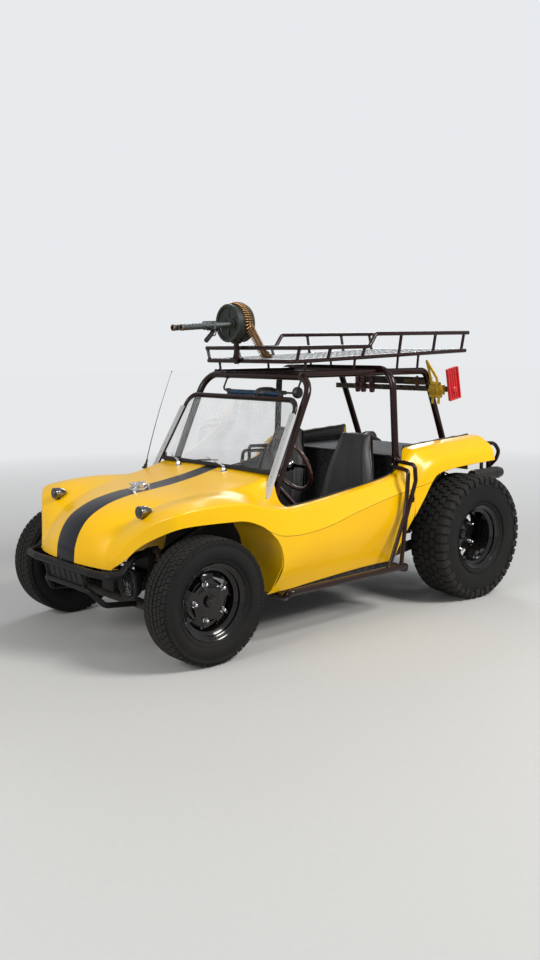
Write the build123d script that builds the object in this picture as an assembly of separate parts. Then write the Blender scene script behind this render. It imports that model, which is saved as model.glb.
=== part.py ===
from build123d import *
import math
import os

# Frame: +X forward, +Y to the car's left, +Z up, origin on the ground at the middle of the car. Millimetres.
WHEELBASE = 2100
FRONT_AXLE_X = 1125
REAR_AXLE_X = FRONT_AXLE_X - WHEELBASE
FRONT_TYRE_D = 680
FRONT_TYRE_W = 202
FRONT_TRACK = 1440
REAR_TYRE_D = 806
REAR_TYRE_W = 282
REAR_TRACK = 1550
RIM_R = 190
FLANGE_R = 207
FRONT_RIM_W = 150
REAR_RIM_W = 226
LUG_CIRCLE_R = 102.5
WINDOW_COUNT = 5
WINDOW_CIRCLE_R = 134
WINDOW_R = 23

WALL = 6
SEAM = 0.3
RUN = 0.05

HOOD_END_X = 690
SCREEN_X = 505
SIDE_END_X = -480
TAIL_X = -1235
DECK_Z = 935
FLOOR_Z = 285
FLOOR_T = 5
FLOOR_FRONT_X = 640
FLOOR_REAR_X = -400
BODY_HALF_W = 750

CAGE_R = 22
RACK_R = 13
ROCKER_R = 19

KINGPIN_Y = 600
KINGPIN_R = 10
STEER_ARM = 130
STEER_Z = 380
PITMAN_X = 1150
PITMAN_Y = 250
ROD_RISE = 22

FILLER_X = 1056
FILLER_Z = 848
FILLER_R = 44
LID_Z = FILLER_Z + 21
LID_HINGE_X = FILLER_X - FILLER_R - 14

COLUMN_TOP = (175, 330, 940)
COLUMN_FOOT = (1165, 300, 500)
STEERING_WHEEL_R = 175

SCREEN_LEAN = 0.5575
SCREEN_FOOT_X = 590
SCREEN_FOOT_Z = 790
SCREEN_TOP_Z = 1345
SCREEN_TOP_HALF = 531
SCREEN_FOOT_HALF = 585
SCREEN_R = 12
SCREEN_BEND = 80
GLASS_LOW_Z = 948
HOOP_X = -514
HOOP_Z = 1498
RAIL_FRONT_Z = 1484
RAIL_Y = 408
RAIL_REAR_X = -985
RAIL_REAR_Z = 1472
DOOR_BAR_R = 16
RACK_FRONT_X = 218
RACK_REAR_X = -1384
RACK_STEP_X = -400
RACK_HALF_W = 425
RACK_LEAN = 24
RACK_LOW_FRONT_Z = 1562
RACK_LOW_REAR_Z = 1600
RACK_TOP_FRONT_Z = 1643
RACK_TOP_REAR_Z = 1722
RACK_POST_X = (195, -60, -360, -700, -1040, -1340)
STRUT_X = (120, -300, -700, -900)
STRUT_R = 8
CROSS_R = 7.5
RACK_PLATE_T = 3
DRUM_X = 245
DRUM_Y = -90
DRUM_Z = 1798
DRUM_R = 119
DRUM_W = 95
BELT_LINKS = 14
STAY_X = -976
JACK_Z = 1352
SILL_Z = 305
ROCKER_FRONT_X = 730
ROCKER_REAR_X = -330
ROCKER_Y = 822
BRACE_R = 13
ENGINE_FRONT_X = -1130
TORSION_X = FLOOR_REAR_X - 50
TORSION_HALF = 520
TORSION_Z = 340
TORSION_R = 40
BEAM_X = FRONT_AXLE_X + 140
BEAM_DZ = 75
BEAM_R = 30
NOSE_BAR_X = 1568
SPINDLE_R = 15
REAR_STUB_R = 20
FRONT_Y = FRONT_TRACK / 2
REAR_Y = REAR_TRACK / 2
FRONT_R = FRONT_TYRE_D / 2
REAR_R = REAR_TYRE_D / 2
FRONT_DISC_Y = 30
REAR_DISC_Y = -30
FRONT_DRUM_Y = -70
REAR_DRUM_Y = -105

os.makedirs("parts", exist_ok=True)


def save(name, solid):
    """Write one node."""
    export_step(solid, f"parts/{name}.step")


def across(solid):
    """A piece and its mirror image on the other side of the car."""
    return Compound(children=[*solid.solids(), *mirror(solid, Plane.XZ).solids()])


def tube(points, radius, bend=0):
    """A round bar along straight runs joined by arcs."""
    if len(points) > 2:
        path = FilletPolyline(*points, radius=bend)
    else:
        path = Line(*points)
    return sweep(Plane(origin=path @ 0, z_dir=path % 0) * Circle(radius), path=path)


def rod(start, end, radius):
    """A straight round bar between two points."""
    a = Vector(*start)
    b = Vector(*end)
    return Plane(origin=a, z_dir=b - a) * extrude(Circle(radius), amount=(b - a).length)


def block(x, y, z):
    """A box from its low and high sides."""
    low = Vector(x[0], y[0], z[0])
    size = Vector(x[1], y[1], z[1]) - low
    return Pos(*(low + size / 2)) * Box(*size)


def plane_at(x):
    """A cross-section plane, with its own axes along Y and Z."""
    return Plane(origin=(x, 0, 0), x_dir=(0, 1, 0), z_dir=(1, 0, 0))


def side_plane(y):
    """A plane across Y, with its own axes along X and Z, facing the right-hand side."""
    return Plane(origin=(0, y, 0), x_dir=(1, 0, 0), z_dir=(0, -1, 0))


def inset(points, wall):
    """An open outline moved by one wall to the right of its run."""
    normals = []
    for a, b in zip(points, points[1:]):
        run = math.hypot(b[0] - a[0], b[1] - a[1])
        normals.append(((b[1] - a[1]) / run, (a[0] - b[0]) / run))
    moved = []
    for i, (u, v) in enumerate(points):
        n = normals[max(i - 1, 0)]
        m = normals[min(i, len(normals) - 1)]
        k = wall / (1 + n[0] * m[0] + n[1] * m[1])
        moved.append((u + k * (n[0] + m[0]), v + k * (n[1] + m[1])))
    return moved


def ribbon(points, wall):
    """A closed band of one wall along an open outline."""
    inner = inset(points, wall)
    return make_face(Polyline(*points, *reversed(inner), close=True))


def shell(stations, wall=WALL):
    """A skin lofted through cross-sections: each row is x and its outline of (y, z) points."""
    faces = [plane_at(x) * ribbon(points, wall) for x, points in stations]
    return loft(faces, ruled=True)


# Hood stations: centre x, centre z, half width, drop at the edge
HOOD_TABLE = [
    (1552, 505, 322, 40),
    (1543, 588, 328, 58),
    (1513, 668, 331, 72),
    (1460, 734, 336, 76),
    (1382, 780, 343, 62),
    (1284, 814, 352, 45),
    (1151, 838, 376, 24),
    (1040, 848, 402, 12),
    (909, 860, 432, 6),
    (HOOD_END_X, 893, 526, 14),
]


def hood_inward():
    """Unit direction from the hood's crown into the car, at each hood station."""
    directions = [Vector(-1, 0, 0)]
    for a, b in zip(HOOD_TABLE, HOOD_TABLE[2:]):
        directions.append(Vector(a[1] - b[1], 0, b[0] - a[0]).normalized())
    return [*directions, Vector(0, 0, -1)]


def hood_skin(wall):
    """The hood's skin: arcs across the car on planes square to its centre line."""
    faces = []
    for (x, z, half, drop), inward in zip(HOOD_TABLE, hood_inward()):
        top = Vector(x, 0, z)
        low = top + inward * drop
        side = Vector(0, half, 0)
        outer = ThreePointArc(low - side, top, low + side)
        inner = ThreePointArc(low + inward * wall + side, top + inward * wall, low + inward * wall - side)
        faces.append(make_face([outer, Line(outer @ 1, inner @ 0), inner, Line(inner @ 1, outer @ 0)]))
    return loft(faces, ruled=True)


def hood_plan(gap):
    """The hood's outline seen from above, as a tall prism, with a gap all along its edges."""
    edge = []
    for (x, z, half, drop), inward in zip(HOOD_TABLE, hood_inward()):
        edge.append((x + inward.X * drop, half + gap))
    edge[0] = (edge[0][0] + 80, edge[0][1])
    edge[-1] = (edge[-1][0] - 1, edge[-1][1])
    far = [(x, -y) for x, y in reversed(edge)]
    return Pos(0, 0, 400) * extrude(make_face(Polyline(*edge, *far, close=True)), amount=600)


def build_hood():
    """The hood panel, with the hole that the fuel filler stands in."""
    hole = Pos(FILLER_X, 0, FILLER_Z) * Cylinder(FILLER_R + SEAM, 80)
    return hood_skin(WALL) - hole


# Front fender stations: x, then (y, z) of seam, crown, crease and lower edge
FENDER_TABLE = [
    (1490, [(322, 566), (350, 562), (378, 545), (380, 505)]),
    (1448, [(326, 631), (385, 640), (447, 625), (454, 560)]),
    (1408, [(330, 673), (425, 695), (518, 703), (525, 630)]),
    (1356, [(336, 722), (480, 757), (612, 770), (619, 690)]),
    (1290, [(345, 760), (560, 822), (703, 812), (711, 736)]),
    (1200, [(358, 796), (590, 852), (720, 828), (728, 744)]),
    (1100, [(380, 826), (600, 862), (722, 832), (731, 742)]),
    (980, [(405, 848), (600, 866), (722, 832), (734, 737)]),
    (860, [(438, 861), (600, 858), (726, 824), (741, 728)]),
    (760, [(488, 870), (610, 838), (726, 800), (746, 692)]),
    (HOOD_END_X, [(518, 881), (620, 815), (722, 778), (748, 640)]),
]


def build_front_fenders():
    """Both front fenders: flat-topped, swept back from the nose corner, with a deep outer flange."""
    return across(shell(FENDER_TABLE) - hood_plan(2 * SEAM))


# Cowl stations: x, then the left half's crown, edge, foot and outer rim as (y, z)
COWL_TABLE = [
    (HOOD_END_X, [(0, 893), (526, 879), (620, 815), (722, 778)]),
    (SCREEN_X, [(0, 932), (548, 920), (592, 772), (699, 748)]),
]


def both_halves(left):
    """A whole cross-section from its left half, which starts on the centre line."""
    return [(-y, z) for y, z in reversed(left[1:])] + left


def cowl_skin(wall):
    """The scuttle's skin, of any thickness below its outer face."""
    return shell([(x, both_halves(left)) for x, left in COWL_TABLE], wall)


def build_cowl():
    """The raised scuttle between the hood and the windscreen."""
    return cowl_skin(WALL)


# Side stations: x, heights of coaming, waist crease, tuck crease and bottom edge, then waist y
SIDE_TABLE = [
    (HOOD_END_X, 778, 648, 430, 284, 750),
    (SCREEN_X, 746, 608, 462, 288, 752),
    (340, 753, 612, 496, 298, 752),
    (0, 790, 678, 536, 314, 752),
    (-200, 815, 717, 562, 318, 753),
    (-340, 838, 743, 588, 316, 757),
    (-410, 862, 754, 598, 314, 761),
    (-440, 890, 760, 602, 314, 764),
    (SIDE_END_X, 938, 768, 606, 312, 768),
]


def side_stations():
    """Cross-sections of the left side: x, then (y, z) of coaming return, coaming, waist, tuck and bottom edge."""
    rows = []
    for x, top, crease, tuck, low, waist in SIDE_TABLE:
        rows.append((x, [(650, top + 6), (699, top), (waist, crease), (waist + 2, tuck), (704, low)]))
    return rows


def front_side_stations():
    """The left side below the scuttle: x, then (y, z) from just under the scuttle's rim to the sill return."""
    rows = []
    for (x, cowl), (_, side) in zip(COWL_TABLE, side_stations()):
        rim_y, rim_z = cowl[-1]
        rows.append((x, [(rim_y, rim_z - WALL - 2), *side[2:]]))
    return rows


def front_cabin_volume():
    """The space inside the body between the front wheels and the windscreen."""
    faces = []
    for (x, cowl), (_, side) in zip(COWL_TABLE, front_side_stations()):
        roof = inset(cowl, WALL + SEAM)
        wall = inset(side, WALL + SEAM)
        outline = both_halves([(0, roof[0][1]), *roof[1:], *wall[1:]])
        faces.append(plane_at(x) * make_face(Polyline(*outline, close=True)))
    return loft(faces, ruled=True)


def front_arch_tool(reach):
    """The round front wheel opening, through one side."""
    curve = ThreePointArc((738, 675), (601, 490), (692, 276))
    edge = make_face(Polyline(curve @ 1, (692, 200), (900, 200), (900, 675), curve @ 0) + curve)
    return extrude(side_plane(reach[0]) * edge, amount=-(reach[1] - reach[0]))


def rear_arch_tool(reach):
    """The round rear wheel opening, through one side."""
    curve = ThreePointArc((-640, 820), (-470, 572), (-340, 300))
    edge = make_face(Polyline(curve @ 1, (-340, 200), (-900, 200), (-900, 820), curve @ 0) + curve)
    return extrude(side_plane(reach[0]) * edge, amount=-(reach[1] - reach[0]))


def build_side_panels():
    """Both body sides, cut away at the wheel openings."""
    panel = shell(side_stations()[1:]) + shell(front_side_stations())
    return across(panel - front_arch_tool((500, 900)) - rear_arch_tool((500, 900)))


def biggest(shape):
    """The largest solid of a shape that a cut left in pieces."""
    return max(shape.solids(), key=lambda solid: solid.volume)


def floor_room():
    """The floor pan and its tunnel, grown by a seam, for cutting what stands on them."""
    pan = block((-700, 800), (-760, 760), (FLOOR_Z - 60, FLOOR_Z + FLOOR_T + SEAM))
    return pan + block((-700, 800), (-65 - SEAM, 65 + SEAM), (FLOOR_Z - 60, FLOOR_Z + 140 + SEAM))


def build_front_bulkhead():
    """The wall behind the front wheels, bent round them, with a hole for the column."""
    outline = [(664, FLOOR_Z + FLOOR_T + SEAM), (610, 430), (604, 500), (624, 580), (676, 650), (676, 900)]
    sheet = bulkhead(outline, 760) & front_cabin_volume()
    side = shell(front_side_stations(), WALL + SEAM)
    sheet = sheet - side - mirror(side, Plane.XZ) - cowl_skin(WALL + SEAM)
    return biggest(sheet - rod(COLUMN_FOOT, COLUMN_TOP, 26) - floor_room())


def build_rear_bulkhead():
    """The wall in front of the rear wheels, bent round them, from the floor to the deck."""
    outline = [
        (-548, DECK_Z - WALL - SEAM), (-548, 850), (-520, 760), (-474, 640),
        (-440, 560), (-395, 440), (-340, FLOOR_Z + FLOOR_T + SEAM)]
    sides = side_stations()[1:]
    sides[-1] = (SIDE_END_X - 3, sides[-1][1])
    sheet = bulkhead(outline, 700)
    for stations in (sides, REAR_FENDER_TABLE):
        skin = shell(stations, WALL + SEAM)
        sheet = sheet - skin - mirror(skin, Plane.XZ)
    return biggest(sheet - floor_room())


# Rear fender stations: x, then (y, z) of inner wall foot, inner edge, crown, skirt and lower edge
REAR_FENDER_TABLE = [
    (SIDE_END_X - SEAM, [(640, 880), (650, 944), (699, 938), (768, 768), (772, 590)]),
    (-545, [(590, DECK_Z), (600, 996), (694, 989), (781, 850), (790, 696)]),
    (-600, [(590, DECK_Z), (598, 1006), (692, 998), (784, 900), (798, 782)]),
    (-655, [(590, DECK_Z), (598, 1012), (690, 1005), (786, 925), (802, 836)]),
    (-800, [(590, DECK_Z), (598, 1020), (690, 1013), (786, 941), (804, 861)]),
    (-1000, [(590, DECK_Z), (598, 1028), (690, 1021), (786, 951), (804, 871)]),
    (TAIL_X, [(590, DECK_Z), (598, 1038), (684, 1031), (784, 966), (804, 878)]),
]


def build_rear_fenders():
    """Both rear fenders: inner wall, flat crown and a sloping outer skirt."""
    return across(shell(REAR_FENDER_TABLE))


def build_rear_deck():
    """The dark cover behind the seats, between the rear fenders."""
    half = 590 - WALL - SEAM
    return block((TAIL_X, -542), (-half, half), (DECK_Z - WALL, DECK_Z))


def build_tail_panel():
    """The tail between the rear fenders, arched over the engine."""
    half = 590 - WALL - SEAM
    top = DECK_Z - WALL - SEAM
    sheet = make_face(Polyline((-half, top), (half, top), (half, 795), (-half, 795), close=True))
    arch = Pos(0, 760) * RectangleRounded(680, 200, 60)
    return extrude(plane_at(TAIL_X) * (sheet - arch), amount=WALL)


def column_axis():
    """Foot, unit direction and length of the steering column."""
    foot = Vector(*COLUMN_FOOT)
    run = Vector(*COLUMN_TOP) - foot
    return foot, run.normalized(), run.length


def build_dash():
    """The dash panel under the scuttle, with a hole for the column."""
    sheet = block((SCREEN_X + 1, SCREEN_X + 1 + WALL), (-584, 584), (650, 1000))
    return (sheet & front_cabin_volume()) - rod(COLUMN_FOOT, COLUMN_TOP, 26)


def build_floor():
    """Floor pan with its centre tunnel and the frame head that runs to the front axle."""
    pan = block((FLOOR_REAR_X, FLOOR_FRONT_X), (-698, 698), (FLOOR_Z, FLOOR_Z + FLOOR_T))
    tunnel = block((FLOOR_REAR_X - 60, FLOOR_FRONT_X), (-65, 65), (FLOOR_Z, FLOOR_Z + 140))
    head = block((FLOOR_FRONT_X, BEAM_X - BEAM_R - SEAM), (-65, 65), (FLOOR_Z - 25, FLOOR_Z + 60))
    torsion = rod((TORSION_X, -TORSION_HALF, TORSION_Z), (TORSION_X, TORSION_HALF, TORSION_Z), TORSION_R)
    horns = block((ENGINE_FRONT_X + SEAM, TORSION_X), (130, 160), (TORSION_Z - 34, TORSION_Z + 24))
    edge = block((FLOOR_REAR_X + 60, FLOOR_FRONT_X), (686, 692), (FLOOR_Z, FLOOR_Z + 40))
    side = horns + edge
    return pan + tunnel + head + torsion + side + mirror(side, Plane.XZ)


def bulkhead(profile, reach):
    """A bent sheet across the car that follows one outline in side view."""
    return extrude(side_plane(reach) * ribbon(profile, WALL), amount=2 * reach)


def screen_x(z):
    """The windscreen's leaning plane."""
    return SCREEN_FOOT_X - SCREEN_LEAN * (z - SCREEN_FOOT_Z)


def screen_half(z):
    """Half width of the windscreen hoop at a height."""
    along = (z - SCREEN_FOOT_Z) / (SCREEN_TOP_Z - SCREEN_FOOT_Z)
    return SCREEN_FOOT_HALF + along * (SCREEN_TOP_HALF - SCREEN_FOOT_HALF)


def screen_plane(offset=0):
    """The leaning plane of the windscreen, with its own axes along Y and up the slope."""
    lean = Vector(1, 0, SCREEN_LEAN).normalized()
    return Plane(origin=Vector(screen_x(0), 0, 0) + lean * offset, x_dir=(0, 1, 0), z_dir=lean)


def on_screen(y, z):
    """A point of the windscreen's own plane from its true place across and up."""
    return (y, z * math.hypot(1, SCREEN_LEAN))


def build_windscreen_frame():
    """Windscreen hoop, its glazing strips on both legs and the rubber sill bar."""
    low = SCREEN_FOOT_Z - 30
    top = SCREEN_TOP_Z
    corner = screen_half(top)
    foot = screen_half(low)
    hoop = tube([
        (screen_x(low), foot, low), (screen_x(top), corner, top),
        (screen_x(top), -corner, top), (screen_x(low), -foot, low)], SCREEN_R, SCREEN_BEND)
    strip_low = on_screen(screen_half(low), low)
    strip_top = on_screen(screen_half(top - 90), top - 90)
    outline = make_face(Polyline(
        (strip_low[0] - 17, strip_low[1]), (strip_low[0] + 17, strip_low[1]),
        (strip_top[0] + 17, strip_top[1]), (strip_top[0] - 17, strip_top[1]), close=True))
    strip = screen_plane(SCREEN_R - 2) * extrude(outline, amount=6)
    frame = hoop + strip + mirror(strip, Plane.XZ)
    return frame - Pos(0, 0, SEAM) * cowl_skin(60)


def build_sill_bar():
    """Rubber bar between the scuttle and the glass."""
    half = screen_half(GLASS_LOW_Z) - SCREEN_R - 22
    low = on_screen(half, GLASS_LOW_Z - SEAM)
    sill = make_face(
        Polyline((-half, low[1] - 24), (half, low[1] - 24), (half, low[1]), (-half, low[1]), close=True))
    bar = screen_plane(-12) * extrude(sill, amount=24)
    return bar - Pos(0, 0, SEAM) * cowl_skin(60)


def build_glass():
    """Windscreen glass inside the hoop, with round top corners."""
    high = SCREEN_TOP_Z - (SCREEN_R + 0.5)
    inside = SCREEN_R + 1
    corners = [
        on_screen(screen_half(GLASS_LOW_Z) - inside, GLASS_LOW_Z), on_screen(screen_half(high) - inside, high),
        on_screen(inside - screen_half(high), high), on_screen(inside - screen_half(GLASS_LOW_Z), GLASS_LOW_Z)]
    edge = FilletPolyline(*corners, radius=SCREEN_BEND - SCREEN_R)
    sheet = make_face([*edge.edges(), Line(corners[-1], corners[0])])
    return screen_plane(-3) * extrude(sheet, amount=6)


def main_hoop(radius):
    """The hoop behind the seats."""
    foot = FLOOR_Z + FLOOR_T - 40
    return tube([
        (-270, 598, foot), (-510, 576, 880), (HOOP_X, 540, HOOP_Z),
        (HOOP_X, -540, HOOP_Z), (-510, -576, 880), (-270, -598, foot)], radius, 125)


def roof_rail(radius):
    """The left roof rail and rear stay."""
    corner = (RAIL_REAR_X, RAIL_Y, RAIL_REAR_Z)
    return tube([(160, RAIL_Y, RAIL_FRONT_Z), corner, (-1210, RAIL_Y - 4, 915)], radius, 70)


def front_hoop(radius):
    """The hoop behind the windscreen, with legs that bend at the scuttle."""
    foot = FLOOR_Z + FLOOR_T - 40
    left = [(480, 521, foot), (473, 521, 708), (441, 521, 862), (157, 521, 1471)]
    return tube([*left, *((x, -y, z) for x, y, z in reversed(left))], radius, 125)


def build_cage():
    """Roll cage: front hoop, main hoop, roof rails, rear stays and the bars along the doorways."""
    foot = FLOOR_Z + FLOOR_T + SEAM
    rail = roof_rail(CAGE_R)
    door = tube([(443, 521, 856), (345, 606, 706), (-419, 585, 640)], DOOR_BAR_R, 60)
    side = rail + door
    cage = front_hoop(CAGE_R) + main_hoop(CAGE_R) + side + mirror(side, Plane.XZ)
    cage -= block((-1300, -1000), (-600, 600), (800, DECK_Z + SEAM))
    return cage - block((-700, 700), (-800, 800), (FLOOR_Z - 120, foot))


def rack_low_z(x):
    """Height of the rack's lower frame."""
    along = (x - RACK_FRONT_X) / (RACK_REAR_X - RACK_FRONT_X)
    return RACK_LOW_FRONT_Z + along * (RACK_LOW_REAR_Z - RACK_LOW_FRONT_Z)


def rail_z(x):
    """Height of the cage's roof rails."""
    along = (x - 160) / (RAIL_REAR_X - 160)
    return RAIL_FRONT_Z + along * (RAIL_REAR_Z - RAIL_FRONT_Z)


def crossbar(x, half, z, radius):
    """A straight bar across the car that runs just past both side rails' centres."""
    return rod((x, half + 4, z), (x, -half - 4, z), radius)


def build_rack():
    """Roof rack: lower frame, stepped upper rail, leaning posts and struts down to the cage."""
    top_w = RACK_HALF_W + RACK_LEAN
    lower = tube([
        (RACK_REAR_X, RACK_HALF_W, RACK_LOW_REAR_Z), (RACK_FRONT_X, RACK_HALF_W, RACK_LOW_FRONT_Z),
        (RACK_FRONT_X, -RACK_HALF_W, RACK_LOW_FRONT_Z), (RACK_REAR_X, -RACK_HALF_W, RACK_LOW_REAR_Z)], RACK_R, 30)
    rack = lower + crossbar(RACK_REAR_X, RACK_HALF_W, RACK_LOW_REAR_Z, RACK_R - 0.5)
    rail = tube([
        (RACK_FRONT_X - 20, top_w, RACK_TOP_FRONT_Z), (RACK_STEP_X, top_w, RACK_TOP_FRONT_Z),
        (RACK_STEP_X - 60, top_w, RACK_TOP_REAR_Z), (RACK_REAR_X, top_w, RACK_TOP_REAR_Z)], RACK_R, 40)
    rack = rack + rail + mirror(rail, Plane.XZ)
    rack += crossbar(RACK_FRONT_X - 20, top_w, RACK_TOP_FRONT_Z, RACK_R - 0.5)
    rack += crossbar(RACK_REAR_X, top_w, RACK_TOP_REAR_Z, RACK_R - 0.5)
    for x in RACK_POST_X:
        top = RACK_TOP_FRONT_Z if x > RACK_STEP_X else RACK_TOP_REAR_Z
        post = rod((x, RACK_HALF_W, rack_low_z(x)), (x, top_w, top), 10)
        rack = rack + post + mirror(post, Plane.XZ)
    for x in STRUT_X:
        strut = rod((x, RAIL_Y, rail_z(x)), (x, RACK_HALF_W - 5, rack_low_z(x)), STRUT_R)
        strut -= rod((x + 60, RAIL_Y, rail_z(x + 60)), (x - 60, RAIL_Y, rail_z(x - 60)), CAGE_R + SEAM)
        rack = rack + strut + mirror(strut, Plane.XZ)
        rack += crossbar(x, RACK_HALF_W - 8, rack_low_z(x), CROSS_R)
    return rack


def build_rack_floor():
    """Chequer plate that lies on the rack's cross bars."""
    half = RACK_HALF_W - RACK_R - 8
    front = RACK_FRONT_X - RACK_R - 8
    rear = RACK_REAR_X + RACK_R + 2
    lift = CROSS_R + SEAM
    profile = [(rear, rack_low_z(rear) + lift), (front, rack_low_z(front) + lift)]
    return extrude(side_plane(half) * ribbon(profile, -RACK_PLATE_T), amount=2 * half)


def build_drum():
    """Round drum housing on a pedestal, with two pipes that point forward and a grip."""
    drum = Plane(origin=(DRUM_X, DRUM_Y - DRUM_W / 2, DRUM_Z), z_dir=(0, 1, 0)) * extrude(
        Circle(DRUM_R), amount=DRUM_W)
    boss = Plane(origin=(DRUM_X, DRUM_Y - DRUM_W / 2 - 14, DRUM_Z), z_dir=(0, 1, 0)) * extrude(
        Circle(46), amount=DRUM_W + 28)
    post = rod((DRUM_X - 6, DRUM_Y, RACK_LOW_FRONT_Z - 18), (DRUM_X - 6, DRUM_Y, DRUM_Z - 80), 17)
    plate = block((RACK_FRONT_X, DRUM_X + 16), (DRUM_Y - 45, DRUM_Y + 45), (RACK_LOW_FRONT_Z - 18, RACK_LOW_FRONT_Z + 18))
    saddle = rod((RACK_FRONT_X, DRUM_Y - 60, RACK_LOW_FRONT_Z), (RACK_FRONT_X, DRUM_Y + 60, RACK_LOW_FRONT_Z), RACK_R + SEAM)
    pipe_low = rod((DRUM_X, DRUM_Y + 18, 1790), (702, DRUM_Y + 18, 1776), 19)
    pipe_high = rod((DRUM_X, DRUM_Y - 24, 1822), (650, DRUM_Y - 24, 1811), 16)
    return drum + boss + (post + plate - saddle) + pipe_low + pipe_high


def build_belt():
    """A hanging belt of round links, from the drum's back down to the rack floor."""
    path = FilletPolyline(
        (DRUM_X - DRUM_R - 0.5, DRUM_Y, 1850), (DRUM_X - 190, DRUM_Y, 1835),
        (DRUM_X - 215, DRUM_Y, rack_low_z(DRUM_X - 215) + CROSS_R + RACK_PLATE_T + 1.7), radius=50)
    belt = sweep(Plane(origin=path @ 0, z_dir=path % 0) * Rectangle(5, 60), path=path)
    for i in range(BELT_LINKS):
        at = path @ ((i + 0.7) / BELT_LINKS)
        belt += rod((at.X, DRUM_Y - 33, at.Z), (at.X, DRUM_Y + 33, at.Z), 8)
    return belt


def build_jack():
    """A farm jack carried across the rear stays: beam, climbing body, handle and foot."""
    beam = block((STAY_X - 48, STAY_X - 32), (-470, 620), (JACK_Z - 18, JACK_Z + 18))
    for i in range(18):
        beam -= Pos(STAY_X - 40, -430 + 58 * i, JACK_Z) * (Plane.YZ * Cylinder(7, 40))
    stay = roof_rail(CAGE_R + SEAM)
    beam = beam - stay - mirror(stay, Plane.XZ)
    body = block((STAY_X - 31.7, STAY_X - 10), (440, 560), (JACK_Z - 36, JACK_Z + 28))
    outline = make_face(
        Polyline((448, 1376), (512, 1376), (506, 1428), (413, 1545), (403, 1537), (438, 1432), close=True))
    window = make_face(Polyline((462, 1400), (496, 1400), (490, 1422), (430, 1500), (450, 1436), close=True))
    handle = plane_at(STAY_X - 26) * extrude(outline - window, amount=10)
    foot = Pos(STAY_X - 34, 624.3, JACK_Z + 40) * (Rot(0, 10, 0) * Box(112, 8, 208))
    return beam, body + handle, foot


def build_rocker_bars():
    """Side bars below the sills, bent in to the floor pan at both ends."""
    under = FLOOR_Z - ROCKER_R - SEAM
    bar = tube([
        (ROCKER_FRONT_X - 130, 620, under), (ROCKER_FRONT_X - 130, 765, under), (ROCKER_FRONT_X - 40, ROCKER_Y, SILL_Z),
        (ROCKER_REAR_X, ROCKER_Y, SILL_Z), (ROCKER_REAR_X - 60, 765, under), (ROCKER_REAR_X - 60, 620, under)], ROCKER_R, 30)
    return across(bar)


def build_side_braces():
    """Hairpin braces over the body edge, from the main hoop down to the side bars."""
    front = tube([
        (-508, 576, 904), (-406, 642, 901), (-378, 800, 888), (-352, 808, 700), (-330, 812, 610),
        (-178, ROCKER_Y, SILL_Z)], BRACE_R, 30)
    rear = tube([
        (-512, 574, 940), (-440, 646, 932), (-436, 800, 918), (-438, 806, 820), (-341, 814, 600),
        (-290, ROCKER_Y, SILL_Z)], BRACE_R, 30)
    bar = rod((0, ROCKER_Y, SILL_Z), (ROCKER_REAR_X, ROCKER_Y, SILL_Z), ROCKER_R + SEAM)
    return across(biggest(front + rear - main_hoop(CAGE_R + SEAM) - bar))


def build_seats():
    """Two high-backed bucket seats."""
    cushion = block((-330, 170), (100, 550), (FLOOR_Z + 110, FLOOR_Z + 200))
    base = block((-280, 120), (130, 520), (FLOOR_Z + FLOOR_T + SEAM, FLOOR_Z + 110))
    sections = []
    for x, z, half, thick in ((-290, 470, 225, 110), (-350, 780, 215, 95), (-400, 980, 150, 80), (-418, 1060, 130, 60)):
        sections.append(Plane(origin=(x, 325, z), x_dir=(0, 1, 0), z_dir=(-0.25, 0, 1)) * RectangleRounded(2 * half, thick, 22))
    back = loft(sections, ruled=True)
    return across(cushion + base + back)


def build_mirror():
    """Wide rear-view mirror on two rods below the front hoop."""
    glass = Pos(200, -30, 1352) * Box(26, 420, 62)
    rods = rod((198, -150, 1352), (162, -150, 1471), 5) + rod((198, 90, 1352), (162, 90, 1471), 5)
    return glass + rods - rod((157, -300, 1471), (157, 300, 1471), CAGE_R + SEAM)


def build_engine():
    """The flat engine as one mass: case, cylinder banks and upright fan shroud."""
    case = block((-1480, ENGINE_FRONT_X), (-150, 150), (300, 640))
    banks = block((-1440, -1170), (-370, 370), (360, 520))
    shroud = block((-1330, -1190), (-300, 300), (520, 850))
    fan = Plane(origin=(-1190, 0, 700), z_dir=(1, 0, 0)) * extrude(Circle(110), amount=60, both=False)
    pulley = Plane(origin=(-1518, 0, 420), z_dir=(1, 0, 0)) * extrude(Circle(88), amount=42)
    return case + banks + shroud + fan + pulley


def build_rear_axle():
    """Transaxle with its swing-axle tubes, hub carriers and wheel stubs."""
    box = Plane(origin=(-1120, 0, REAR_R), z_dir=(1, 0, 0)) * extrude(Circle(120), amount=300, taper=4)
    nose = Plane(origin=(-822, 0, REAR_R), z_dir=(1, 0, 0)) * extrude(Circle(96), amount=250, taper=8)
    axle = rod((REAR_AXLE_X, -640, REAR_R), (REAR_AXLE_X, 640, REAR_R), 36)
    carrier = rod((REAR_AXLE_X, 600, REAR_R), (REAR_AXLE_X, REAR_Y + REAR_DRUM_Y - 6, REAR_R), 118)
    stub = rod((REAR_AXLE_X, 640, REAR_R), (REAR_AXLE_X, REAR_Y + REAR_DISC_Y - 20, REAR_R), REAR_STUB_R)
    arm = make_face(Polyline(
        (TORSION_X + 30, TORSION_Z + 34), (TORSION_X + 30, TORSION_Z - 34),
        (REAR_AXLE_X, REAR_R - 30), (REAR_AXLE_X, REAR_R + 30), close=True))
    plate = extrude(side_plane(612) * arm, amount=10)
    hub = rod((TORSION_X, TORSION_HALF + SEAM, TORSION_Z), (TORSION_X, 612, TORSION_Z), 30)
    side = carrier + stub + plate + hub
    return box + nose + axle + side + mirror(side, Plane.XZ)


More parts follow.
